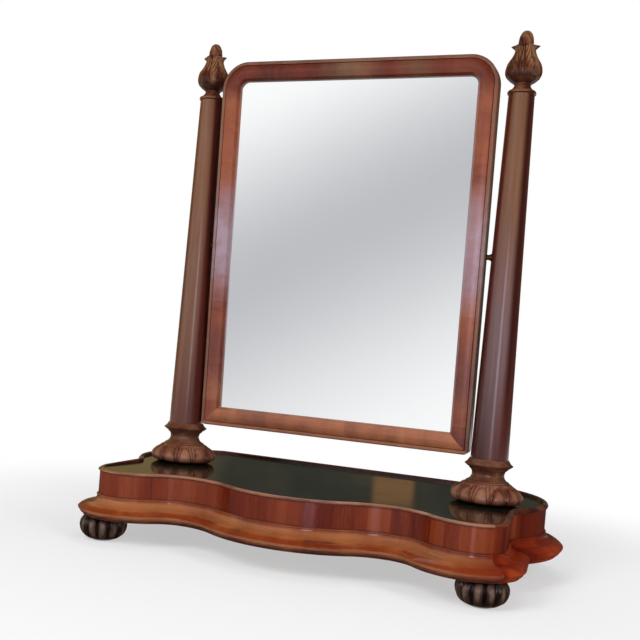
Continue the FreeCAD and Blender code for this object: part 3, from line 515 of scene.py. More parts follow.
@dataclass(frozen=True)
class WoodFinish(Finish):
    """Polished timber, plain or carved."""

    name: str
    deep: Colour
    middle: Colour
    bright: Colour
    worn: Colour
    grain: Grain
    pull: float = 0.09
    tone_scale: float = 16.0
    grain_scale: float = 260.0
    grain_strength: float = 0.5
    flame: float = 0.0
    flame_scale: float = 12.0
    coat: float = 0.8
    coat_rough: float = 0.2
    smooth: float = 0.34
    dull: float = 0.5
    sheen: float = 0.12
    wear: float = 0.35
    crevice_shade: float = 0.75
    carving_shade_and_highlight: float = 0.0
    painted_shade_tone: Colour = (0.006, 0.003, 0.002, 1.0)
    relief: float = 0.1
    relief_depth: float = 0.0012
    leaf_run: Grain = Grain.ACROSS
    leaf_length: float = 0.1
    leaf_strength: float = 0.0
    strip: Colour | None = None
    bands: tuple[Band, ...] = ()
    painted_sheen_tones: tuple[Colour, Colour] | None = None
    drawn_out: float = 0.0

    def paint(self, brush: Brush) -> None:
        """Lay timber, tones, painted sheen, wear, painted shade and highlights, and polish over each other.

        Args:
            brush: The material in the making.
        """
        graph, effects, place = brush.graph, brush.effects, brush.place
        scale = [1.0, 1.0, 1.0]
        scale[self.grain.value] = self.pull
        along = graph.stretch(place, scale)
        timber = graph.group(effects.figure, {
            "Place": along, "Deep": self.deep, "Middle": self.middle, "Bright": self.bright,
            "Tone Scale": self.tone_scale, "Grain Scale": self.grain_scale, "Flame": self.flame,
            "Flame Scale": self.flame_scale, "Grain Strength": self.grain_strength,
            "Run": graph.axes(place)[self.leaf_run.value], "Leaf Length": self.leaf_length,
            "Leaf Strength": self.leaf_strength})
        colour = timber["Colour"]
        if self.bands:
            colour = self.banded(brush, colour)
        # Painted reflection of the room's bright front on the side of a turned piece.
        if self.painted_sheen_tones:
            colour = self.painted_front_sheen(brush, colour)
        if self.strip:
            colour = self.edged(brush, colour)
        rubbed = graph.group(effects.wear, {"Place": place, "Amount": self.wear})
        colour = graph.mix(rubbed["Mask"], colour, self.worn)
        # Painted shade in crevices and under mouldings, found by ambient occlusion, in the painted shade tone.
        shut = graph.group(effects.crevice, {"Place": place, "Amount": self.crevice_shade})
        colour = graph.mix(shut["Mask"], colour, self.painted_shade_tone)
        # Painted shade in the carving's hollows, and painted highlights in the worn tone on its raised parts.
        if self.carving_shade_and_highlight > 0:
            hollow = graph.add("ShaderNodeAttribute", attribute_name=HOLLOW).outputs["Fac"]
            shaded = graph.group(effects.carving_shade_and_highlight, {"Place": place, "Hollow": hollow, "Amount": self.carving_shade_and_highlight})
            colour = graph.mix(shaded["Highlight"], colour, self.worn)
            colour = graph.mix(shaded["Mask"], colour, self.painted_shade_tone)
        polish = graph.group(effects.polish, {
            "Place": along, "Smooth": self.smooth, "Dull": self.dull, "Grain": timber["Grain"]})
        brush.give({"Base Color": colour, "Roughness": polish["Roughness"], "Specular IOR Level": self.sheen,
                    "Coat Weight": self.coat, "Coat Roughness": self.coat_rough})
        if self.drawn_out > 0:
            round_axis = graph.add("ShaderNodeTangent", direction_type="RADIAL", axis="Z").outputs[0]
            brush.give({"Tangent": round_axis, "Anisotropic": self.drawn_out, "Anisotropic Rotation": 0.25})
        brush.bump(polish["Height"], self.relief, self.relief_depth)

    def banded(self, brush: Brush, colour: Socket) -> Socket:
        """Lay the bands of painted light and shade, and of plain tone, over the timber.

        Args:
            brush: The material in the making.
            colour: Colour of the timber.

        Returns:
            The colour with the tones.
        """
        graph = brush.graph
        parts = graph.axes(brush.place)
        cloudy = graph.span(graph.noise(brush.place, 34.0, 4.0, 0.6), 0.3, 0.7, 0.7, 1.2)
        for band in self.bands:
            reach = graph.times(graph.band(parts[band.along.value], band.low, band.high, band.soft), cloudy)
            colour = graph.mix(graph.times(reach, band.share, True), colour, band.tone)
        return colour

    def painted_front_sheen(self, brush: Brush, colour: Socket) -> Socket:
        """Paint a sheen on the side of a turned piece that faces the room's bright front: a painted reflection,
        mauve-grey low down and on the left, tan above.

        Args:
            brush: The material in the making.
            colour: Colour of the timber.

        Returns:
            The colour with the painted sheen.
        """
        graph = brush.graph
        to_room = (0.05, -1.0, 0.0)
        normal = graph.add("ShaderNodeTexCoord").outputs["Normal"]
        facing = graph.span(graph.vector("DOT_PRODUCT", normal, to_room)["Value"], 0.68, 0.97)
        across, _, height = graph.axes(brush.place)
        on_left = graph.span(across, -0.1, 0.1, 0.9, 0.0)
        tone = graph.mix(graph.math("MAXIMUM", graph.span(height, 0.36, 0.62), on_left), *self.painted_sheen_tones)
        streaky = graph.stretch(brush.place, (1.0, 1.0, 0.04))
        uneven = graph.span(graph.noise(streaky, 150.0, 4.0, 0.6), 0.3, 0.7, 0.62, 0.95)
        above_foot = graph.span(height, 0.17, 0.36, 0.08, 1.0)
        return graph.mix(graph.times(graph.times(facing, uneven), above_foot), colour, tone)

    def edged(self, brush: Brush, colour: Socket) -> Socket:
        """Tone the plain strip round the mirror frame.

        Args:
            brush: The material in the making.
            colour: Colour of the cushion.

        Returns:
            The colour with the strip.
        """
        graph = brush.graph
        from_middle = graph.vector("SUBTRACT", brush.place, FRAME_MIDDLE)[0]
        margin = graph.group(brush.effects.margin, {"Place": from_middle, **FRAME_EDGE})
        tones = graph.span(graph.noise(brush.place, 40.0, 3.0), 0.3, 0.7, 0.35, 0.9)
        return graph.mix(graph.times(margin["Mask"], tones), colour, self.strip)


@dataclass(frozen=True)
class StoneFinish(Finish):
    """Dark polished slab with faint cloudy veins, and dust along its back."""

    name: str
    ground: Colour
    cloud: Colour
    vein: Colour
    dust: Colour
    dust_from: float = 0.180
    dust_full: float = 0.206
    smooth: float = 0.05
    dull: float = 0.12

    def paint(self, brush: Brush) -> None:
        """Lay clouds, veins, wear, dust and polish over each other.

        Args:
            brush: The material in the making.
        """
        graph, place = brush.graph, brush.place
        clouds = graph.span(graph.noise(place, 7.0, 5.0, 0.6, 1.2), 0.4, 0.72)
        off_ridge = graph.math("SUBTRACT", graph.noise(place, 5.0, 6.0, 0.55, 2.4), 0.5)
        veins = graph.span(graph.math("ABSOLUTE", off_ridge), 0.0, 0.012, 0.35, 0.0)
        colour = graph.mix(veins, graph.mix(clouds, self.ground, self.cloud), self.vein)
        worn = graph.group(brush.effects.wear, {"Place": place, "Amount": 0.4})
        colour = graph.mix(worn["Mask"], colour, self.vein)
        flecks = graph.span(graph.noise(place, 90.0, 4.0, 0.6), 0.3, 0.7, 0.0, 0.22)
        dust = graph.times(graph.span(graph.axes(place)[1], self.dust_from, self.dust_full), flecks)
        rubbed = brush.polish(self.smooth, self.dull, 9.0)
        brush.give({"Base Color": graph.mix(dust, colour, self.dust), "Roughness": rubbed["Roughness"],
                    "Specular IOR Level": 0.5})
        brush.bump(rubbed["Height"], 0.02, 0.001)


@dataclass(frozen=True)
class SilverFinish(Finish):
    """Clear silvered glass with a little haze and foxing."""

    name: str
    silver: Colour
    fox: Colour
    haze: Colour

    def paint(self, brush: Brush) -> None:
        """Lay haze and foxing on the silver.

        Args:
            brush: The material in the making.
        """
        graph = brush.graph
        spots = graph.span(graph.noise(brush.place, 60.0, 6.0, 0.7, 0.8), 0.72, 0.82, 0.0, 0.5)
        silver = graph.mix(brush.polish(0.0, 0.4, 5.0)["Roughness"], self.silver, self.haze)
        brush.give({"Base Color": graph.mix(spots, silver, self.fox), "Roughness": 0.0, "Metallic": 1.0})


@dataclass(frozen=True)
class MetalFinish(Finish):
    """Brass or steel fittings, dulled and rubbed bright on their edges."""

    name: str
    metal: Colour
    tarnish: Colour
    bright: Colour

    def paint(self, brush: Brush) -> None:
        """Lay tarnish, bright edges and brush marks on the metal.

        Args:
            brush: The material in the making.
        """
        graph, place = brush.graph, brush.place
        dull = graph.span(graph.noise(place, 160.0, 4.0, 0.6), 0.4, 0.7, 0.0, 0.8)
        worn = graph.group(brush.effects.wear, {"Place": place, "Width": 0.0006, "Amount": 0.8})
        colour = graph.mix(worn["Mask"], graph.mix(dull, self.metal, self.tarnish), self.bright)
        rough = brush.polish(0.22, 0.45, 180.0)["Roughness"]
        brush.give({"Base Color": colour, "Roughness": rough, "Metallic": 1.0})
        brushed = graph.stretch(place, (40.0, 900.0, 900.0))
        brush.bump(graph.noise(brushed, 1.0, 2.0), 0.15, 0.0002)


@dataclass(frozen=True)
class LeatherFinish(Finish):
    """Oiled leather of the friction washers."""

    name: str
    hide: Colour
    crease: Colour

    def paint(self, brush: Brush) -> None:
        """Crease the hide.

        Args:
            brush: The material in the making.
        """
        graph = brush.graph
        cells = graph.add("ShaderNodeTexVoronoi", {"Vector": brush.place, "Scale": 900.0})
        creases = graph.span(cells.outputs["Distance"], 0.2, 0.6)
        brush.give({"Base Color": graph.mix(creases, self.crease, self.hide),
                    "Roughness": brush.polish(0.5, 0.75, 120.0)["Roughness"]})
        brush.bump(creases, 0.4, 0.0003)


# Plinth tones, top to bottom: painted shade at the top of the cove under the frieze, a painted highlight on the
# shoulder, deeper orange on the torus, a painted highlight on the lower round and painted shade on the
# underside; deeper red toward the right end.
PLINTH_TONES = (
    Band(0.0682, 0.0745, 0.0012, shade(108, 54, 34), 0.5),
    Band(0.0585, 0.0672, 0.0015, shade(164, 108, 70), 0.6),
    Band(0.0512, 0.0572, 0.0012, shade(118, 42, 10), 0.8),
    Band(0.0462, 0.0504, 0.0010, shade(166, 112, 84), 0.75),
    Band(0.300, 0.5, 0.045, shade(124, 36, 12), 0.75, Grain.ACROSS),
    Band(0.0300, 0.0448, 0.0012, shade(58, 30, 28), 0.9),
)
# Frieze tones: painted shade in the crease at the frieze's foot, and painted shadow under the bead.
FRIEZE_TONES = (
    Band(0.0720, 0.0752, 0.0006, shade(74, 28, 18), 0.7),
    Band(0.1085, 0.1130, 0.0010, shade(86, 34, 22), 0.5),
)
TOP_RAIL_TONES = (
    Band(-0.045, 0.035, 0.030, shade(122, 86, 60), 0.65, Grain.ACROSS),
    Band(0.085, 0.130, 0.020, shade(100, 72, 46), 0.6, Grain.ACROSS),
)
# Stile tones: the top rail's dark tone carried down past the mitre, a painted sheen of mauve-grey at mid-height,
# and darker low on the stile.
STILE_TONES = (
    Band(0.77, 0.87, 0.02, shade(92, 32, 17), 0.95),
    Band(0.44, 0.59, 0.05, shade(158, 136, 148), 0.8),
    Band(0.265, 0.36, 0.035, shade(98, 46, 40), 0.75),
)
VENEER = {"grain": Grain.UPRIGHT, "pull": 0.06, "tone_scale": 20.0, "grain_scale": 230.0, "flame": 0.25,
          "coat_rough": 0.1}
MOULDING = {"grain": Grain.UPRIGHT, "pull": 0.12, "tone_scale": 14.0, "grain_scale": 210.0, "flame": 0.3,
            "coat_rough": 0.1}
EDGING = {"grain": Grain.ACROSS, "pull": 0.2, "tone_scale": 30.0, "grain_scale": 300.0}
CARVED = {"grain": Grain.UPRIGHT, "pull": 0.3, "grain_scale": 320.0}
MEMBER = {"pull": 0.4, "grain_strength": 0.3, "coat_rough": 0.26, "leaf_length": 0.09}
PINE = {"coat": 0.0, "smooth": 0.55, "relief": 0.3}


@dataclass
class Finishes:
    """Every finish of the mirror, made once."""

    effects: Effects
    made: dict[str, Material] = field(default_factory=dict)

    @staticmethod
    def recipes() -> list[Finish]:
        """List the finishes.

        Returns:
            The finishes, by the names that the pieces ask for.
        """
        return [
            WoodFinish("frieze_veneer", shade(84, 13, 3), shade(120, 46, 17), shade(136, 62, 28),
                       shade(160, 100, 74), coat=0.1, sheen=0.5, smooth=0.24, dull=0.3, drawn_out=0.92,
                       relief=0.02, leaf_length=0.05, leaf_strength=0.6, bands=FRIEZE_TONES, **VENEER),
            WoodFinish("frieze_end_veneer", shade(74, 14, 4), shade(104, 30, 10), shade(132, 54, 24),
                       shade(150, 84, 56), coat=0.25, wear=0.2, **VENEER),
            WoodFinish("plinth_moulding", shade(84, 24, 6), shade(138, 62, 22), shade(164, 90, 44),
                       shade(186, 128, 92), wear=0.5, bands=PLINTH_TONES, **MOULDING),
            WoodFinish("plinth_end_moulding", shade(96, 20, 5), shade(128, 36, 11), shade(154, 58, 20),
                       shade(160, 88, 56), coat=0.25, wear=0.2, **MOULDING),
            WoodFinish("slab_bead", shade(112, 64, 44), shade(140, 90, 66), shade(158, 110, 86),
                       shade(180, 134, 108), wear=0.5, crevice_shade=0.5, **EDGING),
            WoodFinish("slab_edging", shade(52, 18, 12), shade(78, 32, 20), shade(108, 54, 36),
                       shade(138, 84, 60), coat_rough=0.12, **EDGING),
            WoodFinish("turned_shaft", shade(58, 18, 13), shade(80, 30, 21), shade(98, 48, 34),
                       shade(124, 76, 56), Grain.UPRIGHT, pull=0.05, tone_scale=26.0, grain_scale=240.0,
                       flame=0.2, coat_rough=0.16, painted_sheen_tones=(shade(112, 88, 90), shade(117, 81, 58))),
            WoodFinish("carved_collar", shade(92, 44, 28), shade(122, 70, 48), shade(144, 94, 70),
                       shade(170, 124, 100), tone_scale=30.0, carving_shade_and_highlight=0.7, painted_shade_tone=shade(40, 16, 10), **CARVED),
            WoodFinish("carved_finial", shade(70, 28, 18), shade(104, 60, 38), shade(130, 88, 60),
                       shade(162, 122, 84), tone_scale=34.0, coat=0.5, carving_shade_and_highlight=0.8, painted_shade_tone=shade(42, 14, 12),
                       **CARVED),
            WoodFinish("carved_foot", shade(26, 15, 12), shade(52, 36, 30), shade(80, 60, 51),
                       shade(112, 90, 78), tone_scale=40.0, wear=0.3, carving_shade_and_highlight=0.95, painted_shade_tone=shade(10, 5, 4),
                       **CARVED),
            WoodFinish("frame_stile", shade(94, 36, 24), shade(134, 68, 42), shade(154, 92, 64),
                       shade(172, 116, 86), Grain.ACROSS, tone_scale=7.0, flame=0.35, crevice_shade=0.25,
                       leaf_run=Grain.UPRIGHT, leaf_strength=0.3, strip=shade(112, 80, 62),
                       bands=STILE_TONES, **MEMBER),
            WoodFinish("frame_top", shade(56, 16, 10), shade(98, 36, 19), shade(120, 62, 38),
                       shade(150, 96, 68), Grain.UPRIGHT, tone_scale=8.0, flame=0.4, coat=0.6, crevice_shade=0.25,
                       leaf_strength=0.35, strip=shade(112, 80, 62), bands=TOP_RAIL_TONES, **MEMBER),
            WoodFinish("frame_foot", shade(128, 74, 54), shade(164, 98, 64), shade(182, 118, 82),
                       shade(184, 124, 90), Grain.UPRIGHT, tone_scale=7.0, flame=0.4, crevice_shade=0.3,
                       leaf_strength=0.3, strip=shade(146, 92, 66), **MEMBER),
            WoodFinish("pine_carcase", shade(120, 84, 50), shade(158, 118, 76), shade(190, 152, 106),
                       shade(202, 168, 124), Grain.ACROSS, pull=0.06, tone_scale=20.0, grain_scale=170.0,
                       dull=0.75, **PINE),
            WoodFinish("backboard_pine", shade(88, 58, 36), shade(126, 88, 56), shade(158, 118, 80),
                       shade(176, 138, 98), Grain.UPRIGHT, pull=0.05, tone_scale=18.0, grain_scale=160.0,
                       dull=0.78, **PINE),
            StoneFinish("dark_slab", shade(22, 22, 17), shade(36, 34, 24), shade(66, 60, 44),
                        shade(168, 154, 142)),
            SilverFinish("silvered_glass", (0.96, 0.965, 0.97, 1.0), (0.7, 0.68, 0.64, 1.0),
                         (0.93, 0.935, 0.94, 1.0)),
            MetalFinish("old_brass", shade(104, 78, 44), shade(56, 40, 26), shade(156, 122, 72)),
            MetalFinish("screw_steel", shade(142, 140, 134), shade(82, 74, 66), shade(196, 194, 190)),
            LeatherFinish("washer_leather", shade(92, 56, 32), shade(48, 28, 16)),
        ]

    def build(self) -> None:
        """Make every material."""
        for recipe in self.recipes():
            self.made[recipe.name] = recipe.build(self.effects)

    def dress(self, thing: Thing, name: str) -> None:
        """Give an object one of the finishes.

        Args:
            thing: Object to dress.
            name: Name of the finish.
        """
        if not thing.data.materials:
            thing.data.materials.append(self.made[name])
        for slot in thing.material_slots:
            slot.material = self.made[name]


def curve_through(points: Profile, steps: int) -> np.ndarray:
    """Smooth line through points of a turner's profile.

    Args:
        points: Radius and height of each point.
        steps: Steps between neighbouring points.

    Returns:
        The sampled line.
    """
    line = np.array(points, float)
    if len(line) < 3:
        return line
    padded = np.vstack([2 * line[0] - line[1], line, 2 * line[-1] - line[-2]])
    rows = []
    for index in range(len(line) - 1):
        before, start, end, after = padded[index:index + 4]
        for share in np.arange(steps) / steps:
            bend = (2 * before - 5 * start + 4 * end - after) * share ** 2
            sway = (3 * start - before - 3 * end + after) * share ** 3
            rows.append(0.5 * (2 * start + (end - before) * share + bend + sway))
    rows.append(line[-1])
    return np.array(rows)


def place_piece(mesh: Mesh, name: str, node: str, body: str) -> Thing:
    """Set a mesh where a node stands, in place of that node.

    Args:
        mesh: Mesh in the shared frame.
        name: Name of the piece.
        node: Node that it stands for.
        body: Body that it moves with.

    Returns:
        The placed object.
    """
    piece = bpy.data.objects.new(name, mesh)
    bpy.context.scene.collection.objects.link(piece)
    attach(piece, body)
    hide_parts(node)
    return piece


def node_foot(node: str) -> Vector:
    """Middle of a node's underside."""
    low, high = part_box(node)
    return Vector(((low.x + high.x) / 2, (low.y + high.y) / 2, low.z))


@dataclass(frozen=True)
class Skin:
    """Every point of a turned form before it is carved, in millimetres."""

    angle: np.ndarray
    radius: np.ndarray
    height: np.ndarray


@dataclass(frozen=True)
class Turning:
    """A form turned on the lathe and then carved."""

    runs: tuple[Profile, ...]
    sides: int
    steps: int
    ring: bool = False

    def mesh(self, name: str, carve: Callable[[Skin], Carving]) -> Mesh:
        """Build the carved skin.

        Args:
            name: Name of the mesh.
            carve: Gives radial moves and how hollow each place is, which sets its painted shade and highlight.

        Returns:
            The mesh, in metres about its own axis.
        """
        profile = np.vstack([curve_through(run, self.steps) for run in self.runs])
        turn = np.arange(self.sides) * 2 * math.pi / self.sides
        angle, radius = np.meshgrid(turn, profile[:, 0])
        height = np.repeat(profile[:, 1:], self.sides, axis=1)
        out, hollow = carve(Skin(angle, radius, height))
        wide = radius + np.where(radius > 0, out, 0)
        points = np.stack([wide * np.cos(angle), wide * np.sin(angle), height], axis=2) * MM
        mesh = bpy.data.meshes.new(name)
        mesh.from_pydata(points.reshape(-1, 3).tolist(), [], self.faces(profile[:, 0]))
        depth = mesh.attributes.new(HOLLOW, "FLOAT", "POINT")
        depth.data.foreach_set("value", np.clip(hollow, -1, 1).reshape(-1).astype(np.float32))
        self.drop_loose(mesh)
        mesh.shade_smooth()
        mesh.set_sharp_from_angle(angle=SHARP_EDGE)
        return mesh

    def faces(self, radii: np.ndarray) -> list[list[int]]:
        """Faces between neighbouring rows, closed to points on the axis.

        Args:
            radii: Radius of each row of the profile.

        Returns:
            Corners of each face.
        """
        count = len(radii)
        faces = []
        for row in range(count if self.ring else count - 1):
            above = (row + 1) % count
            for side in range(self.sides):
                after = (side + 1) % self.sides
                corners = [(row, side), (row, after), (above, after), (above, side)]
                if radii[row] == 0:
                    corners = [(row, 0), (above, after), (above, side)]
                elif radii[above] == 0:
                    corners = [(row, side), (row, after), (above, 0)]
                faces.append([line * self.sides + place for line, place in corners])
        return faces

    @staticmethod
    def drop_loose(mesh: Mesh) -> None:
        """Take out the spare points left on the axis.

        Args:
            mesh: Mesh to clean.
        """
        work = bmesh.new()
        work.from_mesh(mesh)
        bmesh.ops.delete(work, geom=[v for v in work.verts if not v.link_faces], context="VERTS")
        work.to_mesh(mesh)
        work.free()

    def stand(self, node: str, foot: Vector, slot: str, carve: Callable[[Skin], Carving]) -> Thing:
        """Carve the form and stand it where a node is.

        Args:
            node: Node that it stands for.
            foot: Where its axis starts.
            slot: Not used.
            carve: Carving of the form.

        Returns:
            The piece, on the base.
        """
        mesh = self.mesh("carved_" + node, carve)
        mesh.transform(Matrix.Translation(foot))
        return place_piece(mesh, "carved_" + node, node, "base")


@dataclass
class Feet:
    """Gadrooned bun feet: round lobes with a thin rib between neighbours."""

    radius: float = 38.5
    height: float = 39.0
    lobes: int = 12
    lobe_sides: int = 20
    lobe_depth: float = 4.6
    rib_share: float = 0.15
    rib_height: float = 2.6
    pad: tuple[float, float] = (17.0, 1.5)
    spigot: tuple[float, float] = (9.0, 57.0)
    bun: Profile = ((0.0, 0.54), (0.06, 0.68), (0.18, 0.845), (0.34, 0.945), (0.5, 0.99), (0.62, 1.0),
                    (0.76, 0.975), (0.88, 0.91), (1.0, 0.81))

    def carve(self, skin: Skin) -> Carving:
        """Cut the lobes and ribs.

        Args:
            skin: The turned foot.

        Returns:
            Radial moves, and painted shade and highlights.
        """
        side = off_whole(skin.angle / (2 * math.pi) * self.lobes) * 2
        edge = 1 - self.rib_share
        fall = np.clip(side / edge, 0, 1) ** 2.8
        rib = ease(edge, edge + self.rib_share * 0.75, side)
        share = skin.height / self.height
        on_bun = skin.radius > self.pad[0]
        reach = ease(0.02, 0.22, share) * (1 - ease(0.985, 1.0, share)) * (skin.radius > self.pad[0] * 1.05)
        out = (-self.lobe_depth * fall + self.rib_height * rib) * reach * skin.radius / self.radius
        # Painted shadow at the top of the bun under the plinth, and darker at the bottom by the pad.
        ends = 0.5 * (1 - ease(0.05, 0.3, share)) + 0.6 * ease(0.8, 1.0, share)
        # Painted highlight across the middle of each lobe.
        rubbed = (1 - ease(0.1, 0.6, side)) * notch(share - 0.62, 0.3)
        # Painted shade in the grooves beside the ribs.
        return out, (notch(side - edge, 0.16) + ends - rubbed) * on_bun

    def build(self, finishes: Finishes) -> list[Thing]:
        """Make and place the four feet.

        Args:
            finishes: The finishes.

        Returns:
            The feet.
        """
        wide, low = self.pad
        stem, top = self.spigot
        body = tuple((self.radius * share, low + (self.height - low) * up) for up, share in self.bun)
        runs = (((0.0, 0.0), (wide, 0.0)), ((wide, 0.0), (wide, low)), body,
                ((stem, self.height), (stem, top)), ((stem, top), (0.0, top)))
        form = Turning(runs, self.lobes * self.lobe_sides, 6)
        feet = []
        for node in pair("foot_front") + pair("foot_rear"):
            feet.append(form.stand(node, node_foot(node), "feet", self.carve))
            finishes.dress(feet[-1], "carved_foot")
        return feet


@dataclass
class Columns:
    """Leaf-carved collars and finials of the two columns."""

    leaves: int = 12
    leaf_sides: int = 32
    leaf_rise: float = 2.0
    dart_drop: float = 2.8
    arch_depth: float = 1.0
    carved_height: float = 33.5
    collar_top: float = 71.0
    bore: float = 12.1
    acanthus: int = 4
    acanthus_sides: int = 72
    rib_rise: float = 0.7
    cut_depth: float = 1.3
    bud_cut_depth: float = 0.8
    bud_turns: int = 4
    tip_reach: float = 6.6
    rim_height: float = 72.5
    spigot: tuple[float, float] = (6.0, 20.0)

    def collar_runs(self) -> tuple[Profile, ...]:
        """Profile of a collar, from its foot up to the ring and down its bore.

        Returns:
            The runs, with an arris between neighbours.
        """
        return (
            ((self.bore, 0.0), (30.0, 0.0)),
            ((30.0, 0.0), (40.0, 0.4), (47.0, 1.7), (52.2, 4.5), (54.9, 8.6), (55.6, 13.2), (54.0, 18.6),
             (50.0, 23.2), (44.6, 27.4), (39.6, 30.8), (36.0, self.carved_height)),
            ((34.4, 33.7), (34.7, 34.6), (34.3, 35.5)),
            ((33.2, 35.8), (29.2, 38.4), (26.5, 42.5), (25.7, 47.0), (26.4, 51.0), (28.6, 54.3)),
            ((29.9, 54.7), (30.5, 55.5), (30.1, 56.3)),
            ((31.0, 56.7), (35.0, 59.4), (38.0, 61.6)),
            ((38.0, 61.6), (38.4, 62.2), (38.0, 62.8)),
            ((38.0, 62.8), (34.4, 65.9), (31.6, 70.1)),
            ((31.6, 70.1), (31.2, self.collar_top)),
            ((31.2, self.collar_top), (self.bore, self.collar_top)),
        )

    def finial_runs(self) -> tuple[Profile, ...]:
        """Profile of a finial, from its spigot up to the bud.

        Returns:
            The runs, with an arris between neighbours.
        """
        stem, down = self.spigot
        rim = self.rim_height
        return (
            ((0.0, -down), (stem, -down)),
            ((stem, -down), (stem, 0.0)),
            ((stem, 0.0), (21.6, 0.0)),
            ((21.6, 0.0), (21.7, 0.5), (21.3, 1.0)),
            ((21.3, 1.0), (17.9, 2.9), (15.2, 5.6), (13.4, 8.6)),
            ((13.0, 8.8), (12.3, 9.6), (12.1, 10.7)),
            ((13.0, 11.2), (13.7, 12.0), (13.2, 12.9)),
            ((13.0, 13.0), (16.4, 14.8), (18.6, 16.3)),
            ((18.9, 16.4), (22.0, 18.9), (25.2, 22.2)),
            ((25.6, 22.3), (27.7, 27.0), (28.4, 32.0), (27.9, 37.0), (26.6, 42.4), (24.0, 47.6), (20.9, 52.4),
             (18.0, 58.2), (16.2, 63.0), (15.5, 66.5), (15.6, 69.5), (16.4, rim)),
            ((16.4, rim), (15.9, rim + 0.7), (14.6, rim + 0.8)),
            ((14.6, rim + 0.8), (12.5, rim + 0.1), (11.9, rim + 0.9)),
            ((11.9, rim + 0.9), (11.9, 78.0), (11.5, 83.0), (10.4, 88.4), (8.1, 93.3), (4.4, 96.8), (0.0, 97.8)),
        )

    def carve_collar(self, skin: Skin) -> Carving:
        """Cut wide lapping leaves with round tops and narrow grooved darts between them.

        Args:
            skin: The turned collar.

        Returns:
            Radial moves, and painted shade and highlights.
        """
        radius, height = skin.radius, skin.height
        part = skin.angle / (2 * math.pi) * self.leaves
        index = np.floor(part + 0.5).astype(int) % self.leaves
        hand = np.random.default_rng(11).uniform(-1, 1, (3, self.leaves))
        side = np.abs((part + 0.5) % 1 - 0.5 + 0.02 * hand[0][index]) * 2
        share = height / self.carved_height
        edge = 0.50 + 0.24 * (1 - ease(0.1, 0.95, share)) + 0.04 * hand[1][index]
        across = side / edge
        leaf = across < 1
        round_leaf = np.clip(across, 0, 1) ** 2
        beside = np.clip((side - edge) / (1 - edge), 0, 1)
        dart = -self.dart_drop + 1.9 * np.sin(np.clip(beside * 1.15, 0, 1) * math.pi) ** 0.8
        step = ease(0.93, 1.05, across)
        arch = notch(share - 0.87 + 0.13 * round_leaf, 0.055) * leaf
        carved = self.leaf_rise * (1 - round_leaf) * (1 - step) + dart * step - self.arch_depth * arch
        low = ease(0.06, 0.2, share)
        reach = low * (1 - ease(0.93, 1.0, share)) * (height < self.carved_height) * (radius > self.bore * 2)
        by_foot = (height < self.carved_height * 0.3) * (radius > 36)
        tuck = -2.2 * (1 - low) * np.clip(across, 0, 1.4) ** 2 * by_foot
        # Painted shade in the grooves round the leaves, in the darts and under the arches.
        hollow = 0.8 * notch(across - 1.02, 0.09) + 0.6 * notch(beside - 1.0, 0.3) * ~leaf + 0.8 * arch
        # Painted highlight on the middle of each leaf.
        hollow -= 0.6 * leaf * (1 - round_leaf) * notch(share - 0.5, 0.34)
        # Painted shadow at the foot, under the leaves.
        hollow = hollow * reach + 0.9 * (1 - ease(0.0, 0.16, share)) * (radius > 30)
        # Darker on the neck and ring above the leaves.
        hollow += 0.56 * ease(35, 38, height) * (radius > self.bore)
        # Painted shade in the quirks beside the beads.
        for level, dark, width in ((33.5, 0.6, 0.8), (35.8, 0.5, 1.0), (54.7, 0.5, 0.9), (62.2, 0.3, 0.8)):
            hollow += dark * notch(height - level, width)
        return carved * reach + tuck, hollow

    def carve_finial(self, skin: Skin) -> Carving:
        """Cut the acanthus leaves, their tips and the twisted bud.

        Args:
            skin: The turned finial.

        Returns:
            Radial moves, and painted shade and highlights.
        """
        radius, height, rim = skin.radius, skin.height, self.rim_height
        off = off_whole(skin.angle / (2 * math.pi) * self.acanthus) * 2
        rib_edge = 0.25 - 0.13 * np.clip((height - 20) / 44, 0, 1)
        on_bulb = ease(21, 25, height) * (1 - ease(rim - 4, rim, height))
        rib = self.rib_rise * (1 - np.clip(off / rib_edge, 0, 1) ** 2)
        phase = (height - 20) / 14 - off * 2.9
        veins = notch(off_whole(phase), 0.13) * ease(0.02, 0.2, off - rib_edge)
        gaps = notch(1 - off, 0.09 + 0.05 * np.sin(phase * 2 * math.pi))
        eyes = notch(np.hypot((1 - off) * 16, height - 33), 4.2)
        eyes += notch(np.hypot((1 - off) * 14, height - 50), 3.2)
        cuts = 0.8 * notch(off - rib_edge, 0.05) * ease(20, 30, height) + 0.9 * eyes
        cuts += (0.7 * veins + 0.8 * gaps) * ease(27, 38, height)
        on_bud = (height > rim + 1) * (1 - ease(92, 97, height)) * (radius < 12)
        twist = off_whole(skin.angle * self.bud_turns / (2 * math.pi) + height / 24)
        bud_cut = notch(twist, 0.1) * ease(73, 77, height)
        out = (rib - self.cut_depth * np.clip(cuts, 0, 1.25)) * on_bulb - self.bud_cut_depth * bud_cut * on_bud
        tip = np.clip(1 - off / 0.56, 0, 1) ** 1.25
        at_rim = ease(rim - 7, rim + 1, height) * (height <= rim + 1) * (radius > 13.5)
        # Painted shade in the cuts of the leaves and of the bud.
        hollow = 0.75 * np.clip(cuts, 0, 1) * on_bulb + bud_cut * on_bud * 0.7
        # Painted shade on the underside of the bulb.
        hollow += 0.6 * (1 - ease(22, 40, height)) * (height > 13)
        # Painted highlight on the upper leaves between the cuts.
        hollow -= (1 - np.clip(cuts * 2, 0, 1)) * ease(36, 48, height) * on_bulb * 0.55
        # Painted highlight toward the top of the bud.
        hollow -= 0.4 * (1 - bud_cut) * on_bud * ease(78, 88, height)
        # Painted shadow round the foot of the bud, inside the leaf rim.
        hollow += 0.9 * (radius < 14.4) * notch(height - rim, 3.4)
        # Painted shade in the quirks of the neck.
        hollow += 0.6 * notch(height - 9.0, 0.7) + 0.5 * notch(height - 13.0, 0.5)
        return out + self.tip_reach * tip * at_rim, hollow

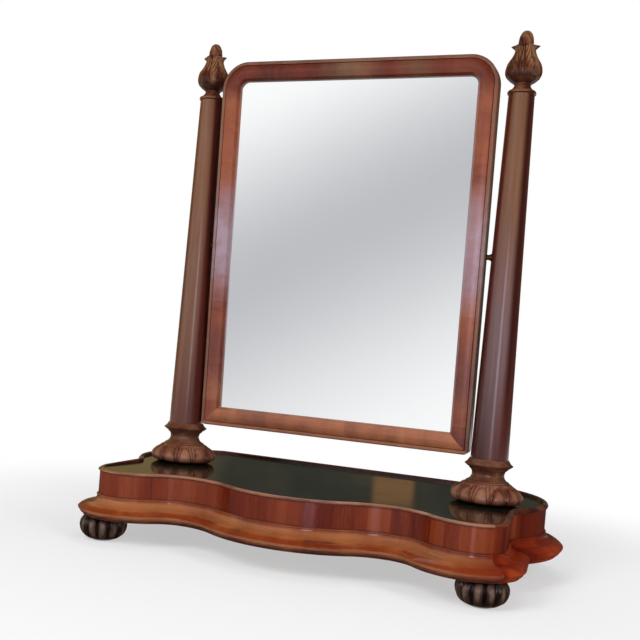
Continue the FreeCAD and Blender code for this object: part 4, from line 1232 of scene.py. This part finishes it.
    def build(self, finishes: Finishes) -> list[Thing]:
        """Make and place the collars and finials.

        Args:
            finishes: The finishes.

        Returns:
            The new pieces.
        """
        collar_form = Turning(self.collar_runs(), self.leaves * self.leaf_sides, 6, True)
        finial_form = Turning(self.finial_runs(), self.acanthus * self.acanthus_sides, 8)
        pieces = []
        for side in Side:
            node = "collar_" + side.value
            collar = collar_form.stand(node, node_foot(node), "carving", self.carve_collar)
            finishes.dress(collar, "carved_collar")
            node = "finial_" + side.value
            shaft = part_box("column_shaft_" + side.value)
            axis = (shaft[0] + shaft[1]) / 2
            foot = Vector((axis.x, axis.y, node_foot(node).z + self.spigot[1] * MM))
            finial = finial_form.stand(node, foot, "carving", self.carve_finial)
            finishes.dress(finial, "carved_finial")
            pieces += [collar, finial]
        return pieces


@dataclass
class Rims:
    """Edging at the ends and back, which stands up above the slab."""

    stand: float = 4.2
    foot: float = 111.0
    height: float = 4.5
    front: tuple[float, float] = (-172.0, -96.0)
    places: tuple[str, ...] = pair("rim_end") + ("rim_back",)

    def build(self, finishes: Finishes, nodes: dict[str, Thing]) -> list[Thing]:
        """Make the edging from the nodes' own outlines.

        Args:
            finishes: The finishes.
            nodes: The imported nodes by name.

        Returns:
            The pieces of edging.
        """
        pieces = []
        for node in self.places:
            mesh = nodes[node].data.copy()
            mesh.name = "raised_" + node
            points = np.array([vertex.co for vertex in mesh.vertices])
            lift = np.clip((points[:, 2] / MM - self.foot) / self.height, 0, 1)
            points[:, 2] += self.stand * MM * lift * ease(*self.front, points[:, 1] / MM)
            mesh.vertices.foreach_set("co", points.reshape(-1))
            mesh.update()
            pieces.append(place_piece(mesh, "raised_" + node, node, "base"))
            finishes.dress(pieces[-1], "slab_edging")
        return pieces


@dataclass
class Glass:
    """Silvered plate with a narrow bevel just inside the frame."""

    lean: float = 2.0
    bevel: float = 4.0
    bevel_drop: float = 0.3
    corner: float = 21.8
    corner_steps: int = 12

    def build(self, finishes: Finishes, joint: dict) -> Thing:
        """Make the plate in the leaning frame.

        Args:
            finishes: The finishes.
            joint: The swing joint of the record.

        Returns:
            The plate.
        """
        swing = Matrix.Translation(Vector(joint["pos_m"])) @ Matrix.Rotation(math.radians(self.lean), 4, "X")
        node = bpy.data.objects["mirror_glass"]
        local = np.array([swing.inverted() @ v.co for v in node.data.vertices])
        low, high = local.min(axis=0), local.max(axis=0)
        rings = [self.outline(low, high, 0.0), self.outline(low, high, self.bevel * MM)]
        levels = [(0, high[1]), (0, low[1] + self.bevel_drop * MM), (1, low[1])]
        points = [(x, depth, z) for ring, depth in levels for x, z in rings[ring]]
        count = len(rings[0])
        faces = [list(range(count)), list(range(2 * count, 3 * count))[::-1]]
        for start in (0, count):
            for index in range(count):
                after = (index + 1) % count
                faces.append([start + index, start + count + index, start + count + after, start + after])
        mesh = bpy.data.meshes.new("bevelled_glass")
        mesh.from_pydata(points, [], faces)
        mesh.transform(swing)
        mesh.shade_flat()
        plate = place_piece(mesh, "bevelled_glass", "mirror_glass", "mirror")
        finishes.dress(plate, "silvered_glass")
        return plate

    def outline(self, low: np.ndarray, high: np.ndarray, inset: float) -> list[tuple[float, float]]:
        """Outline of the plate with rounded top corners.

        Args:
            low: Lowest corner of the plate.
            high: Highest corner of the plate.
            inset: How far the outline is drawn in.

        Returns:
            Points of across and up, going round.
        """
        radius = self.corner * MM
        left, right, foot, top = low[0] + inset, high[0] - inset, low[2] + inset, high[2] - inset
        bend = max(radius - inset * 0.6, radius * 0.3)
        points = [(left, foot), (right, foot)]
        for centre, start in ((right - bend, 0.0), (left + bend, 0.5)):
            for step in range(self.corner_steps + 1):
                turn = (start + 0.5 * step / self.corner_steps) * math.pi
                points.append((centre + bend * math.cos(turn), top - bend + bend * math.sin(turn)))
        return points


@dataclass
class Carcase:
    """Pieces that keep the shape of their nodes and only take a finish."""

    finish_of: dict[str, tuple[str, ...]] = field(default_factory=lambda: {
        "frieze_veneer": ("frieze_front",),
        "frieze_end_veneer": pair("frieze_end"),
        "plinth_moulding": ("plinth_front",),
        "plinth_end_moulding": pair("plinth_end"),
        "slab_bead": ("rim_front",),
        "turned_shaft": pair("column_shaft"),
        "frame_stile": pair("frame_stile"),
        "frame_top": ("frame_top_rail",),
        "frame_foot": ("frame_bottom_rail",),
        "pine_carcase": ("base_board", "bed_board", "glue_blocks", *pair("column_block"), "frieze_back",
                         "plinth_back_rail", "packing_blocks"),
        "backboard_pine": ("backboard",),
        "dark_slab": ("stone_slab",),
        "old_brass": pair("pivot_plate") + pair("pivot_socket"),
        "screw_steel": ("backboard_screws", "column_screws", "pivot_plate_screws"),
        "washer_leather": pair("friction_washer"),
    })

    def build(self, finishes: Finishes, nodes: dict[str, Thing]) -> list[Thing]:
        """Dress the carried-over nodes.

        Args:
            finishes: The finishes.
            nodes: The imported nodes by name.

        Returns:
            The dressed nodes.
        """
        dressed = []
        for finish, names in self.finish_of.items():
            for name in names:
                finishes.dress(nodes[name], finish)
                dressed.append(nodes[name])
        return dressed


@dataclass(frozen=True)
class Lamp:
    """A soft lamp that faces the mirror and isn't seen in the polish."""

    name: str
    place: tuple[float, float, float]
    power: float
    width: float
    height: float

    def hang(self) -> Thing:
        """Hang the lamp.

        Returns:
            The lamp.
        """
        light = bpy.data.lights.new(self.name, "AREA")
        light.shape = "RECTANGLE"
        light.energy = self.power
        light.size, light.size_y = self.width, self.height
        lamp = bpy.data.objects.new(self.name, light)
        lamp.location = self.place
        lamp.rotation_euler = (LAMP_AIM - Vector(self.place)).to_track_quat("-Z", "Y").to_euler()
        lamp.visible_glossy = False
        bpy.context.scene.collection.objects.link(lamp)
        return lamp


@dataclass(frozen=True)
class Window:
    """A window of the room, between two turns in degrees."""

    start: float
    end: float
    soft: float
    glow: float


@dataclass
class Studio:
    """Floor, room, board, lamps and the camera."""

    eye: tuple[float, float, float] = (0.4993, -1.50645, 0.3373)
    yaw: float = 21.523
    pitch: float = 1.3455
    roll: float = 4.770
    focal: float = 945.19
    middle: tuple[float, float] = (275.71, 368.43)
    room_radius: float = 3.2
    room_top: float = 3.0
    room_sides: int = 48
    floor_reach: float = 6.0
    soft_light: float = 0.3
    front_glow: float = 0.9
    lamps: tuple[Lamp, ...] = (
        Lamp("key_lamp", (-0.9, -2.4, 2.2), 62.0, 1.5, 1.5),
        Lamp("fill_lamp", (2.3, -1.1, 1.3), 28.0, 1.2, 1.6),
        Lamp("top_lamp", (0.2, 0.6, 2.7), 16.0, 2.0, 1.0),
    )
    windows: tuple[Window, ...] = (Window(-132, -113, 0.05, 14.0), Window(-80, -68, 0.04, 4.5))

    def camera(self) -> Thing:
        """Set the camera at the photograph's place.

        Returns:
            The camera.
        """
        turn, lift, lean = (math.radians(value) for value in (self.yaw, self.pitch, self.roll))
        back = Vector((math.sin(turn) * math.cos(lift), -math.cos(turn) * math.cos(lift), math.sin(lift)))
        right = Vector((math.cos(turn), math.sin(turn), 0.0))
        up = back.cross(right)
        right, up = right * math.cos(lean) + up * math.sin(lean), up * math.cos(lean) - right * math.sin(lean)
        lens = bpy.data.cameras.new("camera")
        lens.sensor_width = 36.0
        lens.sensor_fit = "HORIZONTAL"
        lens.lens = self.focal * lens.sensor_width / IMAGE_SIDE
        lens.shift_x = (IMAGE_SIDE / 2 - self.middle[0]) / IMAGE_SIDE
        lens.shift_y = (self.middle[1] - IMAGE_SIDE / 2) / IMAGE_SIDE
        camera = bpy.data.objects.new("camera", lens)
        axes = Matrix((right, up, back)).transposed().to_4x4()
        camera.matrix_world = Matrix.Translation(Vector(self.eye)) @ axes
        bpy.context.scene.collection.objects.link(camera)
        bpy.context.scene.camera = camera
        return camera

    def reflected(self, name: str, points: list, faces: list, cloth: Material) -> Thing:
        """Stand something in the studio that is seen in reflections only.

        Args:
            name: Name of the thing.
            points: Its corners.
            faces: Its faces.
            cloth: What it is covered with.

        Returns:
            The thing.
        """
        thing = self.sheet(name, points, faces, cloth)
        thing.visible_camera = False
        thing.visible_diffuse = False
        thing.visible_shadow = False
        return thing

    @staticmethod
    def sheet(name: str, points: list, faces: list, cloth: Material) -> Thing:
        """Set out a part of the studio.

        Args:
            name: Name of the part.
            points: Its corners.
            faces: Its faces.
            cloth: What it is covered with.

        Returns:
            The part.
        """
        mesh = bpy.data.meshes.new(name)
        mesh.from_pydata(points, [], faces)
        mesh.materials.append(cloth)
        thing = bpy.data.objects.new(name, mesh)
        bpy.context.scene.collection.objects.link(thing)
        return thing

    def room(self) -> Thing:
        """Put the round room with its ceiling about the mirror.

        Returns:
            The room.
        """
        sides = self.room_sides
        turns = [2 * math.pi * step / sides for step in range(sides)]
        points = [(self.room_radius * math.cos(turn), self.room_radius * math.sin(turn), level)
                  for level in (-0.02, self.room_top) for turn in turns]
        faces = [[i, (i + 1) % sides, sides + (i + 1) % sides, sides + i] for i in range(sides)]
        faces.append(list(range(sides, 2 * sides)))
        return self.reflected("room", points, faces, self.room_walls())

    def front_board(self) -> Thing:
        """Lean the pale board that the mirror looks at."""
        points = [(-1.7, -1.12, 0.004), (0.25, -1.12, 0.004), (0.25, -2.72, 1.9), (-1.7, -2.72, 1.9)]
        return self.reflected("front_board", points, [[0, 1, 2, 3]], self.pale_cloth())

    def table(self) -> Thing:
        """Lay the brown cloth round the foot, which keeps the polish from looking chalky."""
        points = [(-2.0, -1.1, 0.003), (2.0, -1.1, 0.003), (2.0, 1.4, 0.003), (-2.0, 1.4, 0.003)]
        return self.reflected("table", points, [[0, 1, 2, 3]], self.table_cloth())

    @staticmethod
    def glowing(name: str) -> tuple[Material, Graph, Node]:
        """Start a cloth that shows its own colour.

        Args:
            name: Name of the cloth.

        Returns:
            The material, its graph and its glow.
        """
        material, graph = new_material(name)
        glow = graph.add("ShaderNodeEmission", {"Strength": 1.0})
        graph.add("ShaderNodeOutputMaterial", {"Surface": glow.outputs[0]})
        return material, graph, glow

    def table_cloth(self) -> Material:
        """Brown cloth with worn patches, pale to the clear glass.

        Returns:
            The material.
        """
        material, graph, glow = self.glowing("table_cloth")
        worn = graph.span(graph.noise(graph.place(), 3.0, 3.0), 0.35, 0.65)
        cloth = graph.mix(worn, shade(92, 66, 56), shade(106, 80, 68))
        graph.put(glow.inputs["Color"], graph.mix(graph.in_glass(), cloth, shade(240, 240, 241)))
        return material

    def pale_cloth(self) -> Material:
        """Pale cloth, greyer along one slanting fold.

        Returns:
            The material.
        """
        material, graph, glow = self.glowing("pale_cloth")
        across = graph.vector("DOT_PRODUCT", graph.place(), (-0.524, 0.0, 0.852))["Value"]
        off_fold = graph.math("ABSOLUTE", graph.math("SUBTRACT", across, 0.832))
        pale = graph.span(off_fold, 0.0, 0.87)
        graph.put(glow.inputs["Color"], graph.mix(pale, shade(193, 194, 198), WHITE))
        return material

    def room_walls(self) -> Material:
        """Dim walls, lighter in front, with windows and a brown door, all pale to the clear glass.

        Returns:
            The material.
        """
        material, graph, glow = self.glowing("room_walls")
        place, clear = graph.place(), graph.in_glass()
        across, deep, up = graph.axes(place)
        turn = graph.math("ARCTAN2", deep, across)

        def between(start: float, end: float, soft: float) -> Socket:
            """Share of the wall between two turns in degrees."""
            return graph.band(turn, math.radians(start), math.radians(end), soft)

        stains = graph.span(graph.noise(place, 2.2, 4.0, 0.6), 0.35, 0.65)
        wall = graph.mix(stains, shade(62, 66, 58), shade(84, 80, 68))
        lighter = graph.span(turn, math.radians(116), math.radians(123))
        wall = graph.mix(lighter, wall, shade(146, 126, 84))
        door = graph.times(between(99.8, 103.4, 0.006), graph.band(up, 0.3, 0.66, 0.01))
        wall = graph.mix(door, wall, shade(150, 114, 78))
        front = graph.times(between(-172, -26, 0.12), graph.span(up, 1.55, 2.0, 1.0, 0.0))
        pale = graph.mix(graph.span(up, 0.75, 1.2), shade(190, 166, 170), shade(206, 170, 136))
        wall = graph.mix(front, wall, pale)
        bright = graph.times(front, self.front_glow)
        for window in self.windows:
            height = graph.band(up, 0.05, 1.0, 0.05)
            pane = graph.times(between(window.start, window.end, window.soft), height)
            wall = graph.mix(pane, wall, shade(226, 218, 240))
            bright = graph.math("ADD", bright, graph.times(pane, window.glow))
        bright = graph.times(bright, graph.math("SUBTRACT", 1.0, clear))
        graph.put(glow.inputs["Color"], graph.mix(clear, wall, shade(246, 246, 247)))
        graph.put(glow.inputs["Strength"], graph.math("ADD", bright, 1.0))
        return material

    def floor(self) -> Thing:
        """Lay the pale floor, which shows the shadow near the foot and is white further out.

        Returns:
            The floor.
        """
        material, graph = new_material("pale_floor")
        far = graph.add("ShaderNodeVectorMath", {0: graph.place()}, operation="LENGTH").outputs["Value"]
        white = graph.times(graph.span(far, 0.45, 1.1, 0.5, 1.0), graph.seen())
        lit = graph.add("ShaderNodeBsdfDiffuse", {"Color": shade(236, 236, 235)})
        glow = graph.add("ShaderNodeEmission", {"Color": WHITE, "Strength": 1.0})
        both = graph.add("ShaderNodeMixShader", {0: white, 1: lit.outputs[0], 2: glow.outputs[0]})
        graph.add("ShaderNodeOutputMaterial", {"Surface": both.outputs[0]})
        reach = self.floor_reach
        points = [(-reach, -reach, 0), (reach, -reach, 0), (reach, reach, 0), (-reach, reach, 0)]
        floor = self.sheet("floor", points, [[0, 1, 2, 3]], material)
        return floor

    def sky(self) -> None:
        """Make the white background and the soft light from all round."""
        world = bpy.data.worlds.new("studio")
        world.use_nodes = True
        world.node_tree.nodes.clear()
        graph = Graph(world.node_tree)
        soft = graph.add("ShaderNodeBackground", {"Color": shade(236, 236, 240), "Strength": self.soft_light})
        white = graph.add("ShaderNodeBackground", {"Color": WHITE, "Strength": 1.0})
        both = graph.add("ShaderNodeMixShader", {0: graph.seen(), 1: soft.outputs[0], 2: white.outputs[0]})
        graph.add("ShaderNodeOutputWorld", {"Surface": both.outputs[0]})
        bpy.context.scene.world = world

    def build(self) -> None:
        """Set up the whole studio."""
        bpy.context.scene.view_settings.view_transform = "Standard"
        self.camera()
        self.sky()
        self.floor()
        self.room()
        self.table()
        self.front_board()
        for lamp in self.lamps:
            lamp.hang()


def clear_start() -> None:
    """Take out what Blender puts in a new scene."""
    for thing in list(bpy.data.objects):
        bpy.data.objects.remove(thing)


def main() -> None:
    """Build and dress every piece, then set up the studio."""
    logging.basicConfig(level=logging.INFO, format="%(message)s")
    clear_start()
    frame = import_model()
    finishes = Finishes(Effects())
    finishes.build()
    pieces = Carcase().build(finishes, frame["nodes"])
    pieces += Feet().build(finishes)
    pieces += Columns().build(finishes)
    pieces += Rims().build(finishes, frame["nodes"])
    pieces.append(Glass().build(finishes, frame["joints"][0]))
    for piece in pieces:
        LOG.info("%s: %d faces", piece.name, len(piece.data.polygons))
    Studio().build()
    bpy.context.view_layer.update()


if __name__ == "__main__":
    main()
